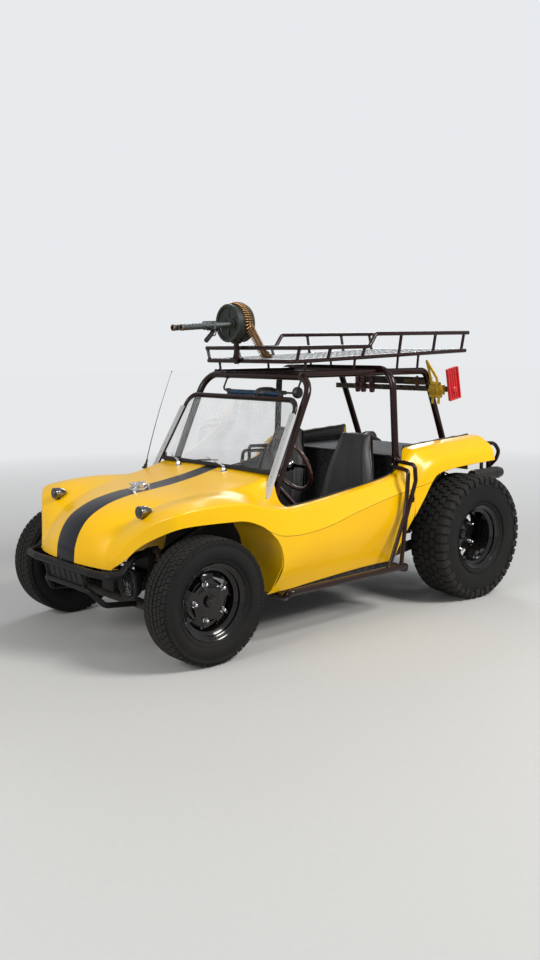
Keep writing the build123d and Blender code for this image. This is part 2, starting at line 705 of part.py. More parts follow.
def build_beam():
    """Twin-tube front axle with shock towers, trailing arms, king-pin carriers and king pins."""
    low = FRONT_R - BEAM_DZ
    high = FRONT_R + BEAM_DZ
    beam = rod((BEAM_X, -500, low), (BEAM_X, 500, low), BEAM_R) + rod(
        (BEAM_X, -500, high), (BEAM_X, 500, high), BEAM_R)
    tower = block((BEAM_X - 34, BEAM_X + 34), (436, 448), (low - 40, high + 190))
    arms = block((FRONT_AXLE_X - 10, BEAM_X + 28), (491, 513), (low - 20, low + 20))
    arms += block((FRONT_AXLE_X - 10, BEAM_X + 28), (491, 513), (high - 20, high + 20))
    carrier = block((FRONT_AXLE_X - 22, FRONT_AXLE_X + 22), (513, 553), (FRONT_R - 118, FRONT_R + 118))
    forks = block(
        (FRONT_AXLE_X - 22, FRONT_AXLE_X + 22), (553, KINGPIN_Y + 20), (FRONT_R - 118, FRONT_R - 100))
    forks += block(
        (FRONT_AXLE_X - 22, FRONT_AXLE_X + 22), (553, KINGPIN_Y + 20), (FRONT_R + 100, FRONT_R + 118))
    pin = rod((FRONT_AXLE_X, KINGPIN_Y, FRONT_R - 117), (FRONT_AXLE_X, KINGPIN_Y, FRONT_R + 117), KINGPIN_R)
    side = tower + arms + carrier + forks + pin
    centre = block((BEAM_X - 20, BEAM_X + 20), (-60, 60), (low, high))
    return beam + side + mirror(side, Plane.XZ) + centre


def build_knuckle(rod_side):
    """Steering knuckle on the left king pin: barrel, backing plate, spindle and steering arm."""
    barrel = rod((FRONT_AXLE_X, KINGPIN_Y, FRONT_R - 99), (FRONT_AXLE_X, KINGPIN_Y, FRONT_R + 99), 20)
    bridge = rod((FRONT_AXLE_X, KINGPIN_Y, FRONT_R), (FRONT_AXLE_X, FRONT_Y + FRONT_DRUM_Y - 6, FRONT_R), 34)
    plate = rod((FRONT_AXLE_X, FRONT_Y + FRONT_DRUM_Y - 12, FRONT_R), (FRONT_AXLE_X, FRONT_Y + FRONT_DRUM_Y - 6, FRONT_R), 118)
    spindle = rod((FRONT_AXLE_X, KINGPIN_Y + 10, FRONT_R), (FRONT_AXLE_X, FRONT_Y + FRONT_DISC_Y - 20, FRONT_R), SPINDLE_R)
    arm = block((FRONT_AXLE_X - STEER_ARM, FRONT_AXLE_X), (KINGPIN_Y - 11, KINGPIN_Y + 11), (STEER_Z - 7, STEER_Z + 7))
    eye = Pos(FRONT_AXLE_X - STEER_ARM, KINGPIN_Y, STEER_Z) * Cylinder(15, 14)
    pin_z = sorted((STEER_Z, STEER_Z + rod_side * (ROD_RISE + 12)))
    pin = rod(
        (FRONT_AXLE_X - STEER_ARM, KINGPIN_Y, pin_z[0]), (FRONT_AXLE_X - STEER_ARM, KINGPIN_Y, pin_z[1]), 5)
    bore = rod(
        (FRONT_AXLE_X, KINGPIN_Y, FRONT_R - 100), (FRONT_AXLE_X, KINGPIN_Y, FRONT_R + 100), KINGPIN_R + RUN)
    return barrel + bridge + plate + spindle + arm + eye + pin - bore


def steering_case(gap=0):
    """The steering box's case, grown by a gap on every side."""
    high = FRONT_R + BEAM_DZ
    return block(
        (PITMAN_X - 40 - gap, BEAM_X - BEAM_R - SEAM + gap),
        (PITMAN_Y - 42 - gap, PITMAN_Y + 90 + gap),
        (high + 4 - gap, high + 120 + gap))


def build_steering_box():
    """Steering box clamped to the upper axle tube, with its drop shaft."""
    shaft = rod((PITMAN_X, PITMAN_Y, STEER_Z - 12), (PITMAN_X, PITMAN_Y, FRONT_R + BEAM_DZ + 10), 11)
    return steering_case() + shaft


def build_pitman():
    """Drop arm with one pin up for the left rod and one pin down for the right rod."""
    arm = block((PITMAN_X - STEER_ARM, PITMAN_X), (PITMAN_Y - 11, PITMAN_Y + 11), (STEER_Z - 7, STEER_Z + 7))
    hub = Pos(PITMAN_X, PITMAN_Y, STEER_Z) * Cylinder(22, 14)
    end = Pos(PITMAN_X - STEER_ARM, PITMAN_Y, STEER_Z) * Cylinder(15, 14)
    pin = rod((PITMAN_X - STEER_ARM, PITMAN_Y, STEER_Z - ROD_RISE - 12), (PITMAN_X - STEER_ARM, PITMAN_Y, STEER_Z + ROD_RISE + 12), 5)
    bore = rod((PITMAN_X, PITMAN_Y, STEER_Z - 20), (PITMAN_X, PITMAN_Y, STEER_Z + 20), 11 + RUN)
    return arm + hub + end + pin - bore


def build_tie_rod(side):
    """A tie rod from the drop arm to one steering arm: left (1) above the arms, right (-1) below them."""
    z = STEER_Z + side * ROD_RISE
    inner = (PITMAN_X - STEER_ARM, PITMAN_Y, z)
    outer = (FRONT_AXLE_X - STEER_ARM, side * KINGPIN_Y, z)
    bar = rod(inner, outer, 8)
    for x, y, play in ((inner[0], inner[1], RUN), (outer[0], outer[1], 1)):
        bar += Pos(x, y, z) * Cylinder(15, 20)
        bar -= Pos(x, y, z) * Cylinder(5 + play, 30)
    return bar


def build_column():
    """Steering column tube from the steering box to the dash side of the wheel."""
    foot, run, length = column_axis()
    tube_part = rod(foot, foot + run * (length - 40), 18)
    bore = rod(foot + run * (length - 110), foot + run * length, 8 + RUN)
    return tube_part - bore - steering_case(SEAM)


def build_steering_wheel():
    """Steering wheel with three spokes, hub and short shaft."""
    foot, run, length = column_axis()
    plane = Plane(origin=foot + run * length, x_dir=(0, 1, 0), z_dir=run)
    wheel = plane * Torus(STEERING_WHEEL_R, 14)
    hub = plane * Pos(0, 0, -18) * Cylinder(32, 40)
    for angle in (0, 180, 270):
        spoke = Pos(STEERING_WHEEL_R / 2, 0, -4) * Box(STEERING_WHEEL_R - 6, 26, 5)
        hub += plane * Rot(0, 0, angle) * spoke
    shaft = rod(foot + run * (length - 100), foot + run * (length - 20), 8)
    return wheel + hub + shaft


def build_filler():
    """Fuel filler neck that stands in the hood, with the two ears of its lid hinge."""
    neck = Pos(FILLER_X, 0, FILLER_Z - 20) * Cylinder(FILLER_R, 70)
    flange = Pos(FILLER_X, 0, FILLER_Z + 2) * Cylinder(FILLER_R + 14, 14) - Pos(0, 0, SEAM) * hood_skin(40)
    ears = block((LID_HINGE_X - 7, LID_HINGE_X + 7), (-17, 17), (FILLER_Z + 5, LID_Z + 6))
    ears -= block((LID_HINGE_X - 20, LID_HINGE_X + 20), (-11, 11), (FILLER_Z + 10, LID_Z + 30))
    pin = rod((LID_HINGE_X, -16, LID_Z), (LID_HINGE_X, 16, LID_Z), 2.5)
    bore = Pos(FILLER_X, 0, FILLER_Z) * Cylinder(FILLER_R - 8, 160)
    return neck + flange + ears + pin - bore


def build_lid():
    """Flip-top fuel lid with its hinge tongue."""
    lid = Pos(FILLER_X, 0, LID_Z + 2) * Cylinder(FILLER_R + 1, 12)
    lid = chamfer(lid.edges().group_by(Axis.Z)[-1], 4)
    tongue = block((LID_HINGE_X, FILLER_X - 30), (-9, 9), (LID_Z - 4, LID_Z + 5))
    knuckle = rod((LID_HINGE_X, -9, LID_Z), (LID_HINGE_X, 9, LID_Z), 5)
    return lid + tongue + knuckle - rod((LID_HINGE_X, -20, LID_Z), (LID_HINGE_X, 20, LID_Z), 2.5 + RUN)


def lamp(x, y, z, radius, depth):
    """A bowl lamp that faces forward."""
    bowl = Plane(origin=(x, y, z), z_dir=(-1, 0, 0)) * extrude(Circle(radius), amount=depth, taper=22)
    ring = Plane(origin=(x, y, z), z_dir=(1, 0, 0)) * extrude(Circle(radius + 4), amount=14)
    return bowl + ring


def build_fender_lamps():
    """Two small bullet lamps on short stalks."""
    bullet = lamp(1344, 457, 802, 30, 60)
    stalk = rod((1322, 457, 745), (1322, 457, 790), 10)
    lamp_part = bullet + stalk - Pos(0, 0, SEAM) * shell(FENDER_TABLE, 30)
    return across(max(lamp_part.solids(), key=lambda s: s.volume))


def build_headlamps():
    """Two round headlamps beside the front axle beam."""
    stem = rod((1330, 365, 408), (BEAM_X, 365, FRONT_R + BEAM_DZ), 11)
    axle = rod((BEAM_X, 300, FRONT_R + BEAM_DZ), (BEAM_X, 430, FRONT_R + BEAM_DZ), BEAM_R + SEAM)
    return across(lamp(1372, 365, 404, 84, 60) + stem - axle)


def build_bumper():
    """Front bumper: an upper bar round the nose, a lower bar and the plate between them."""
    upper = tube([
        (BEAM_X + 34 + SEAM, 442, 580), (1390, 444, 565), (1480, 462, 486), (1540, 440, 482), (NOSE_BAR_X, 300, 484),
        (NOSE_BAR_X, -300, 484), (1540, -440, 482), (1480, -462, 486), (1390, -444, 565),
        (BEAM_X + 34 + SEAM, -442, 580)], 20, 36)
    lower = tube([
        (BEAM_X, 300, FRONT_R - BEAM_DZ), (1480, 290, 290), (1543, 230, 372),
        (1543, -230, 372), (1480, -290, 290), (BEAM_X, -300, FRONT_R - BEAM_DZ)], 16, 40)
    axle = rod((BEAM_X, -400, FRONT_R - BEAM_DZ), (BEAM_X, 400, FRONT_R - BEAM_DZ), BEAM_R + SEAM)
    strut = rod((NOSE_BAR_X - 4, 200, 484), (1543, 200, 372), 9)
    tower = block((BEAM_X - 34, BEAM_X + 34 + SEAM), (400, 500), (500, 700))
    plate = extrude(side_plane(225) * ribbon([(NOSE_BAR_X - 2, 480), (1541, 374)], 4), amount=450)
    bumper = upper + (lower - axle) + strut + mirror(strut, Plane.XZ) + plate
    return bumper - tower - mirror(tower, Plane.XZ)


def build_exhaust():
    """A silencer canister on each side, with the pipe from its cylinder bank."""
    can = rod((-NOSE_BAR_X - 20, 592, 745), (-1255, 592, 745), 42)
    pipe = tube([(-1300, 370 + SEAM, 440), (-1300, 480, 440), (-1300, 592, 590), (-1300, 592, 740)], 22, 60)
    return across(can + pipe)


def build_dampers():
    """Four dampers: front ones from tower to lower arm, rear ones from deck to axle."""
    top = Vector(BEAM_X - 10, 470, FRONT_R + 245)
    foot = Vector(FRONT_AXLE_X + 50, 470, FRONT_R - BEAM_DZ)
    front = rod(foot, foot + (top - foot) * 0.62, 19) + rod(foot, top, 13)
    front += rod((foot.X, 458, foot.Z), (foot.X, 491 - SEAM, foot.Z), 10)
    front += rod((top.X, 448 + SEAM, top.Z), (top.X, 482, top.Z), 16)
    rear = rod((-985, 560, 470), (-996, 560, 690), 25) + rod((-984, 560, REAR_R), (-1000, 560, 880), 14)
    rear += rod((-1000, 560, 870), (-1000, 560, DECK_Z - WALL - SEAM), 9)
    rear -= rod((REAR_AXLE_X, 500, REAR_R), (REAR_AXLE_X, 600, REAR_R), 36 + SEAM)
    both = Compound(children=[front, rear])
    return across(both)


def build_guard():
    """Rear guard: two hoops round the engine joined by cross bars."""
    hoop = tube([
        (TAIL_X + 20, 520, 900), (-1400, 520, 950), (-1548, 520, 880),
        (-1556, 520, 560), (-1500, 500, 330), (REAR_AXLE_X - 150, 160 + ROCKER_R + SEAM, 322)], ROCKER_R, 60)
    bar = rod((-1548, -520, 850), (-1548, 520, 850), 16) + rod((-1556, -520, 560), (-1556, 520, 560), 16)
    return hoop + mirror(hoop, Plane.XZ) + bar - block((TAIL_X - SEAM, -1000), (-600, 600), (800, 1000))


def build_tail_lamps():
    """Two round tail lamps on the tail panel."""
    plug = Plane(origin=(TAIL_X - SEAM, 420, 868), z_dir=(-1, 0, 0)) * extrude(Circle(42), amount=30)
    return across(plug)


def build_gear_lever():
    """Gear lever on the tunnel."""
    top = FLOOR_Z + 140 + SEAM
    lever = rod((110, 0, top + 6), (60, 0, 640), 7)
    return lever + Pos(60, 0, 645) * Sphere(22) + Pos(110, 0, top + 8) * Cylinder(34, 16)


def tyre(diameter, width, rim_width):
    """A tyre about the Y axis, hollow, from bead to bead."""
    r = diameter / 2
    half = rim_width / 2
    side = width / 2
    tread = side - 22
    seat = RIM_R + SEAM
    flank = [
        Line((r, 0), (r, tread)),
        ThreePointArc((r, tread), (r - 6, side - 13), (r - 22, side - 7)),
        ThreePointArc((r - 22, side - 7), (r - 75, side), (FLANGE_R + 7, half + 2)),
        Line((FLANGE_R + 7, half + 2), (FLANGE_R + 1, half - 6)),
        Line((FLANGE_R + 1, half - 6), (seat, half - 13)),
        Line((seat, half - 13), (seat, half - 31)),
        Line((seat, half - 31), (seat + 10, half - 31)),
        ThreePointArc((seat + 10, half - 31), (r - 80, side - 14), (r - 26, tread)),
        Line((r - 26, tread), (r - 26, 0)),
    ]
    half_tyre = revolve(make_face([*flank, Line((r - 26, 0), (r, 0))]), axis=Axis.Y)
    return half_tyre + mirror(half_tyre, Plane.XZ)


def rim(rim_width, disc_y, drum_in, bore_r):
    """A steel wheel about the Y axis, face towards +Y, with its hub and drum."""
    half = rim_width / 2
    outline = [
        (FLANGE_R, half), (FLANGE_R, half - 5), (RIM_R, half - 12), (RIM_R, half - 32), (RIM_R - 24, half - 42),
        (RIM_R - 24, -half + 42), (RIM_R, -half + 32), (RIM_R, -half + 12), (FLANGE_R, -half + 5), (FLANGE_R, -half)]
    barrel = revolve(make_face(Polyline(*outline, *reversed(inset(outline, 5)), close=True)), axis=Axis.Y)
    disc_outline = [(30, disc_y), (118, disc_y), (RIM_R - 28, disc_y - 22)]
    disc = revolve(
        make_face(Polyline(*disc_outline, *reversed(inset(disc_outline, 7)), close=True)), axis=Axis.Y)
    drum = Plane(origin=(0, drum_in, 0), z_dir=(0, 1, 0)) * extrude(Circle(118), amount=disc_y - 7 - drum_in)
    cap = Plane(origin=(0, disc_y - 8, 0), z_dir=(0, 1, 0)) * extrude(Circle(34), amount=40)
    for i in range(WINDOW_COUNT):
        hole = Rot(0, 360 / WINDOW_COUNT * i, 0) * Pos(WINDOW_CIRCLE_R, disc_y - 20, 0)
        disc -= hole * (Rot(90, 0, 0) * Cylinder(WINDOW_R, 60))
    body = barrel + disc + drum + cap
    for i in range(WINDOW_COUNT):
        turn = Rot(0, 360 / WINDOW_COUNT * (i + 0.5), 0)
        nut = Plane(origin=(0, disc_y - 2, 0), z_dir=(0, 1, 0)) * extrude(Circle(10), amount=22)
        body += turn * Pos(LUG_CIRCLE_R, 0, 0) * nut
    bore = Plane(origin=(0, drum_in - 1, 0), z_dir=(0, 1, 0)) * extrude(
        Circle(bore_r), amount=disc_y - drum_in - 4)
    return body - bore


def build_wheels():
    """Four tyres and four wheels."""
    front_tyre = Pos(FRONT_AXLE_X, FRONT_Y, FRONT_R) * tyre(FRONT_TYRE_D, FRONT_TYRE_W, FRONT_RIM_W)
    front_rim = Pos(FRONT_AXLE_X, FRONT_Y, FRONT_R) * rim(
        FRONT_RIM_W, FRONT_DISC_Y, FRONT_DRUM_Y, SPINDLE_R + RUN)
    rear_tyre = Pos(REAR_AXLE_X, REAR_Y, REAR_R) * tyre(REAR_TYRE_D, REAR_TYRE_W, REAR_RIM_W)
    rear_rim = Pos(REAR_AXLE_X, REAR_Y, REAR_R) * rim(REAR_RIM_W, REAR_DISC_Y, REAR_DRUM_Y, REAR_STUB_R + RUN)
    pieces = {"front_tyre": front_tyre, "front_wheel": front_rim, "rear_tyre": rear_tyre, "rear_wheel": rear_rim}
    for name, solid in pieces.items():
        save(f"{name}_left", solid)
        save(f"{name}_right", mirror(solid, Plane.XZ))


save("hood_panel", build_hood())
save("front_fenders", build_front_fenders())
save("cowl_panel", build_cowl())
save("side_panels", build_side_panels())
save("rear_fenders", build_rear_fenders())
save("rear_deck", build_rear_deck())
save("tail_panel", build_tail_panel())
save("dash_panel", build_dash())
save("front_bulkhead", build_front_bulkhead())
save("rear_bulkhead", build_rear_bulkhead())
save("sill_bar", build_sill_bar())
save("floor_pan", build_floor())
save("windscreen_frame", build_windscreen_frame())
save("windscreen_glass", build_glass())
save("roll_cage", build_cage())
save("roof_rack", build_rack())
save("rack_floor", build_rack_floor())
save("roof_drum", build_drum())
save("link_belt", build_belt())
jack_beam, jack_body, jack_foot = build_jack()
save("jack_beam", jack_beam)
save("jack_body", jack_body)
save("jack_foot", jack_foot)
save("rocker_bars", build_rocker_bars())
save("side_braces", build_side_braces())
save("seats", build_seats())
save("mirror_bar", build_mirror())
save("engine_block", build_engine())
save("rear_axle", build_rear_axle())
save("front_axle_beam", build_beam())
save("knuckle_left", build_knuckle(1))
save("knuckle_right", mirror(build_knuckle(-1), Plane.XZ))
save("steering_box", build_steering_box())
save("pitman_arm", build_pitman())
save("tie_rod_left", build_tie_rod(1))
save("tie_rod_right", build_tie_rod(-1))
save("steering_column", build_column())
save("steering_wheel", build_steering_wheel())
save("fuel_filler", build_filler())
save("fuel_lid", build_lid())
save("fender_lamps", build_fender_lamps())
save("headlamps", build_headlamps())
save("dampers", build_dampers())
save("front_bumper", build_bumper())
save("exhaust", build_exhaust())
save("rear_guard", build_guard())
save("tail_lamps", build_tail_lamps())
save("gear_lever", build_gear_lever())
build_wheels()
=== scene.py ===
import sys
import logging
import math
from collections.abc import Callable, Sequence
from dataclasses import dataclass
from enum import Enum

import bmesh
import bpy
from mathutils import Matrix, Vector, noise


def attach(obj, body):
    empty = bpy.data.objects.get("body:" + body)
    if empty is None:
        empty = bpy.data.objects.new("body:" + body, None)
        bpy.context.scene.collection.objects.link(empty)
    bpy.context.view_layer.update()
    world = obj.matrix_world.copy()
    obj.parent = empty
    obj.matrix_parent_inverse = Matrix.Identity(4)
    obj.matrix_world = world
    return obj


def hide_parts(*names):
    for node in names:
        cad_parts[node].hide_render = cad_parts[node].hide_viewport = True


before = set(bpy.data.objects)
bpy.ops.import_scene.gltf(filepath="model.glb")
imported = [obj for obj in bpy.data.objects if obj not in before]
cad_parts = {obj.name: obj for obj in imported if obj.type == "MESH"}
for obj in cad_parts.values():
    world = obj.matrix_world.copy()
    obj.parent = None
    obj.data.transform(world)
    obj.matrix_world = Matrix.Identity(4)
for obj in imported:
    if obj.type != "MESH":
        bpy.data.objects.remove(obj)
LOG = logging.getLogger("dune_buggy")
MM = 0.001
Point = tuple[float, float, float] | Vector
Flat = tuple[float, float]
Colour = tuple[float, float, float]
SIDES = (1, -1)
ORIGIN = (0, 0, 0)
AHEAD = (1, 0, 0)
BACK = (-1, 0, 0)
ACROSS = (0, 1, 0)
UP = (0, 0, 1)
DOWN = (0, 0, -1)
# Corners closer than this many metres are joined
JOIN = 0.00002


class Side(Enum):
    """The two sides of the car."""

    LEFT = 1
    RIGHT = -1

    @property
    def word(self) -> str:
        """The ending of a node's name on this side."""
        return self.name.lower()


def spline(rows: Sequence[Sequence[float]], at: Sequence[float], where: float) -> list[float]:
    """Values on a smooth curve through rows of numbers.

    Args:
        rows: The numbers at each knot.
        at: The knots, in rising order.
        where: The place on the curve, held between the first and last knot.

    Returns:
        The numbers at that place.
    """
    where = min(max(where, at[0]), at[-1])
    k = max(i for i in range(len(at) - 1) if at[i] <= where)
    step = at[k + 1] - at[k]
    t = (where - at[k]) / step

    def slope(i: int) -> list[float]:
        """Slope of every number at one knot."""
        a, b = max(i - 1, 0), min(i + 1, len(at) - 1)
        return [(q - p) / (at[b] - at[a]) for p, q in zip(rows[a], rows[b])]

    m, n = slope(k), slope(k + 1)
    h = (2 * t**3 - 3 * t**2 + 1, t**3 - 2 * t**2 + t, -2 * t**3 + 3 * t**2, t**3 - t**2)
    return [
        h[0] * a + h[1] * step * u + h[2] * b + h[3] * step * v
        for a, u, b, v in zip(rows[k], m, rows[k + 1], n)
    ]


def rounded(points: Sequence[Vector], radii: Sequence[float], turns: int, runs: int) -> list[Vector]:
    """A line with its corners eased.

    Args:
        points: The line's corners, first and last being its ends.
        radii: How far before and after each inner corner the easing starts.
        turns: Steps in each eased corner.
        runs: Steps in each straight run.

    Returns:
        The eased line, always with the same number of points for the same arguments.
    """
    marks: list[tuple[Vector, Vector, Vector]] = []
    for i in range(1, len(points) - 1):
        before, after = points[i - 1] - points[i], points[i + 1] - points[i]
        a = min(radii[i - 1], before.length * 0.49)
        b = min(radii[i - 1], after.length * 0.49)
        marks.append((points[i] + before.normalized() * a, points[i], points[i] + after.normalized() * b))
    line: list[Vector] = []
    start = points[0]
    for a, corner, b in marks:
        line += [start.lerp(a, i / runs) for i in range(runs)]
        line += [a.lerp(corner, i / turns).lerp(corner.lerp(b, i / turns), i / turns) for i in range(turns)]
        start = b
    return line + [start.lerp(points[-1], i / runs) for i in range(runs + 1)]


def bent(points: Sequence[Point], radius: float, steps: int = 6) -> list[Vector]:
    """A path whose corners are arcs of one radius, as a tube bender makes them.

    Args:
        points: The path's corners and ends, in millimetres.
        radius: Radius of every bend.
        steps: Steps in each bend.

    Returns:
        The path's points.
    """
    corners = [Vector(p) for p in points]
    path = [corners[0]]
    for before, here, after in zip(corners, corners[1:], corners[2:]):
        a, b = (before - here).normalized(), (after - here).normalized()
        half = a.angle(b) / 2
        if radius <= 0 or half > math.pi / 2 - 0.01:
            path.append(here)
            continue
        middle = here + (a + b).normalized() * (radius / math.sin(half))
        p, q = here + a * (radius / math.tan(half)), here + b * (radius / math.tan(half))
        for i in range(steps + 1):
            arm = (p - middle).lerp(q - middle, i / steps)
            path.append(middle + arm.normalized() * radius)
    return [*path, corners[-1]]


def inset(outline: Sequence[Flat], depth: float) -> list[Flat]:
    """A closed outline, run anticlockwise, moved inwards by a depth."""
    moved: list[Flat] = []
    count = len(outline)
    for i, (x, y) in enumerate(outline):
        (a, b), (c, d) = outline[i - 1], outline[(i + 1) % count]
        n = Vector((b - y, x - a)).normalized() + Vector((y - d, c - x)).normalized()
        size = max(n.length_squared, 0.5)
        moved.append((x + n.x * 2 * depth / size, y + n.y * 2 * depth / size))
    return moved


def circle(radius: float, count: int) -> list[Flat]:
    """Points evenly round a circle, anticlockwise."""
    turn = 2 * math.pi / count
    return [(radius * math.cos(turn * i), radius * math.sin(turn * i)) for i in range(count)]


def span(side: int, near: float, far: float) -> tuple[float, float]:
    """Low and high y of a stretch on one side, from its distances to the car's middle."""
    return (near, far) if side > 0 else (-far, -near)


def soft_box(width: float, height: float, radius: float, steps: int = 4) -> list[Flat]:
    """A rectangle about the middle with round corners, anticlockwise."""
    line: list[Flat] = []
    for k, (sx, sy) in enumerate(((1, 1), (-1, 1), (-1, -1), (1, -1))):
        for i in range(steps + 1):
            angle = math.pi / 2 * (k + i / steps)
            line.append((
                sx * (width / 2 - radius) + radius * math.cos(angle),
                sy * (height / 2 - radius) + radius * math.sin(angle),
            ))
    return line


class Shape:
    """Points and faces of one piece, gathered part by part, in millimetres."""

    def __init__(self) -> None:
        """Starts with no points."""
        self.points: list[Vector] = []
        self.faces: list[tuple[int, ...]] = []
        self.tones: list[int] = []
        self.tone = 0

    def add(self, points: Sequence[Vector], faces: Sequence[Sequence[int]]) -> "Shape":
        """Adds points and faces that count from the first of them."""
        base = len(self.points)
        self.points += [Vector(p) for p in points]
        self.faces += [tuple(base + i for i in face) for face in faces]
        self.tones += [self.tone] * len(faces)
        return self

    def grid(self, rows: Sequence[Sequence[Vector]], closed: bool = False, flip: bool = False) -> "Shape":
        """Adds a sheet of four-sided faces.

        Args:
            rows: Rows of points, all of one length.
            closed: Whether each row joins up with its own start.
            flip: Whether the faces look the other way.

        Returns:
            The shape itself.
        """
        wide = len(rows[0])
        faces = []
        for j in range(len(rows) - 1):
            for i in range(wide if closed else wide - 1):
                k = (i + 1) % wide
                face = (j * wide + i, j * wide + k, (j + 1) * wide + k, (j + 1) * wide + i)
                faces.append(face[::-1] if flip else face)
        return self.add([p for row in rows for p in row], faces)

    def lathe(
        self, profile: Sequence[Flat], at: Point, axis: Point, segments: int = 40, closed: bool = False
    ) -> "Shape":
        """Adds a turned part.

        Args:
            profile: Radius and height along the axis, point by point.
            at: Where height nought is.
            axis: The direction of the axis.
            segments: Faces round the axis.
            closed: Whether the profile's last point joins its first.

        Returns:
            The shape itself.
        """
        up = Vector(axis).normalized()
        side = up.orthogonal().normalized()
        other = up.cross(side)
        rows = []
        for r, h in profile:
            rows.append([Vector(at) + up * h + (side * c + other * s) * r for c, s in circle(1.0, segments)])
        if closed:
            rows.append(rows[0])
        return self.grid(rows, closed=True)

    def band(
        self, at: Point, axis: Point, inner: float, outer: float, half: float, segments: int = 28
    ) -> "Shape":
        """Adds a clamp strap round a bar, with its edges eased by two millimetres."""
        profile = [(inner, -half), (outer, 2 - half), (outer, half - 2), (inner, half)]
        return self.lathe(profile, at, axis, segments)

    def bar(
        self, points: Sequence[Point], radius: float, bend: float = 0.0, sides: int = 14, dome: float = 0.25
    ) -> "Shape":
        """Adds a round bar along a path with arcs at its corners and eased ends."""
        path = bent(points, bend) if len(points) > 2 else [Vector(p) for p in points]
        return self.hose(path, [radius] * len(path), sides, dome)

    def hose(
        self, path: Sequence[Vector], radii: Sequence[float], sides: int = 12, dome: float = 0.25
    ) -> "Shape":
        """Adds a round body along a path.

        Args:
            path: The middle line.
            radii: The radius at each of its points.
            sides: Faces round it.
            dome: How much of the end radius each end is rounded by.

        Returns:
            The shape itself.
        """
        heading = (path[1] - path[0]).normalized()
        side = heading.orthogonal().normalized()
        rows: list[list[Vector]] = []
        for i, at in enumerate(path):
            a, b = path[max(i - 1, 0)], path[min(i + 1, len(path) - 1)]
            ahead = (b - a).normalized()
            side = (side - ahead * side.dot(ahead)).normalized()
            other = ahead.cross(side)
            r = radii[i]
            rings = [(at, r)]
            if i == 0:
                rings = [(at, 0.02), (at, r * (1 - dome)), (at + ahead * r * dome, r)]
            elif i == len(path) - 1:
                rings = [(at - ahead * r * dome, r), (at, r * (1 - dome)), (at, 0.02)]
            for middle, reach in rings:
                rows.append([middle + (side * c + other * s) * reach for c, s in circle(1.0, sides)])
        return self.grid(rows, closed=True)

    def plate(
        self, outline: Sequence[Flat], at: Point, across: Point, up: Point, depth: float, ease: float = 1.0
    ) -> "Shape":
        """Adds a flat part with eased edges.

        Args:
            outline: Its outline, anticlockwise, on the across and up directions.
            at: Where the outline's middle is.
            across: First direction of the outline.
            up: Second direction of the outline.
            depth: Thickness, towards across x up.
            ease: Size of the eased edge.

        Returns:
            The shape itself.
        """
        u, v = Vector(across).normalized(), Vector(up).normalized()
        w = u.cross(v)
        near = inset(outline, ease)
        count = len(outline)
        layers = ((near, 0.0), (outline, ease), (outline, depth - ease), (near, depth))
        rows = [[Vector(at) + u * x + v * y + w * h for x, y in line] for line, h in layers]
        self.grid(rows, closed=True)
        start = len(self.points) - 4 * count
        self.faces.append(tuple(start + count - 1 - i for i in range(count)))
        self.faces.append(tuple(start + 3 * count + i for i in range(count)))
        self.tones += [self.tone] * 2
        return self

    def slab(self, low: Point, high: Point, ease: float = 2.0) -> "Shape":
        """Adds a block with eased edges between two corners."""
        size = Vector(high) - Vector(low)
        middle = ((low[0] + high[0]) / 2, (low[1] + high[1]) / 2, low[2])
        corner = min(ease, size.x / 3, size.y / 3)
        return self.plate(
            soft_box(size.x, size.y, corner, 2), middle, AHEAD, ACROSS, size.z, min(ease, size.z / 3))

    def bolt(self, at: Point, axis: Point, across: float = 13.0) -> "Shape":
        """Adds a washer and a six-sided head."""
        up = Vector(axis).normalized()
        side = up.orthogonal().normalized()
        other = up.cross(side)
        r = across / 2
        self.lathe([(0.1, 0.0), (r * 1.4, 0.0), (r * 1.4, r * 0.2), (r, r * 0.25)], at, axis, 16)
        return self.plate(circle(r * 1.1, 6), Vector(at) + up * r * 0.2, side, other, r * 0.9, r * 0.12)

    def weld(self, at: Point, axis: Point, radius: float, bead: float = 3.0) -> "Shape":
        """Adds the bead of a weld round a bar."""
        up = Vector(axis).normalized()
        side = up.orthogonal().normalized()
        other = up.cross(side)
        rows = []
        for i, (c, s) in enumerate(circle(1.0, 36)):
            out = side * c + other * s
            swell = bead * (1.0 + 0.22 * math.sin(i * 2.6))
            middle = Vector(at) + out * radius
            rows.append([middle + out * p * swell + up * q * swell for p, q in circle(1.0, 6)])
        return self.grid([*rows, rows[0]], closed=True, flip=True)

    def merge(self, other: "Shape", move: Matrix | None = None) -> "Shape":
        """Adds another shape, moved by a matrix."""
        flip = move is not None and move.determinant() < 0
        base = len(self.points)
        self.points += [move @ p if move is not None else p.copy() for p in other.points]
        for face, tone in zip(other.faces, other.tones):
            face = tuple(base + i for i in face)
            self.faces.append(face[::-1] if flip else face)
            self.tones.append(tone)
        return self

    def both_sides(self) -> "Shape":
        """Adds the mirror image across the car."""
        return self.merge(Shape().merge(self), Matrix.Diagonal((1, -1, 1, 1)))

    def moved(self, move: Matrix) -> "Shape":
        """A copy, moved by a matrix."""
        return Shape().merge(self, move)

    def on(self, side: Side) -> "Shape":
        """A copy of a part of the left side, for either side."""
        return self.moved(Matrix.Diagonal((1, side.value, 1, 1)))

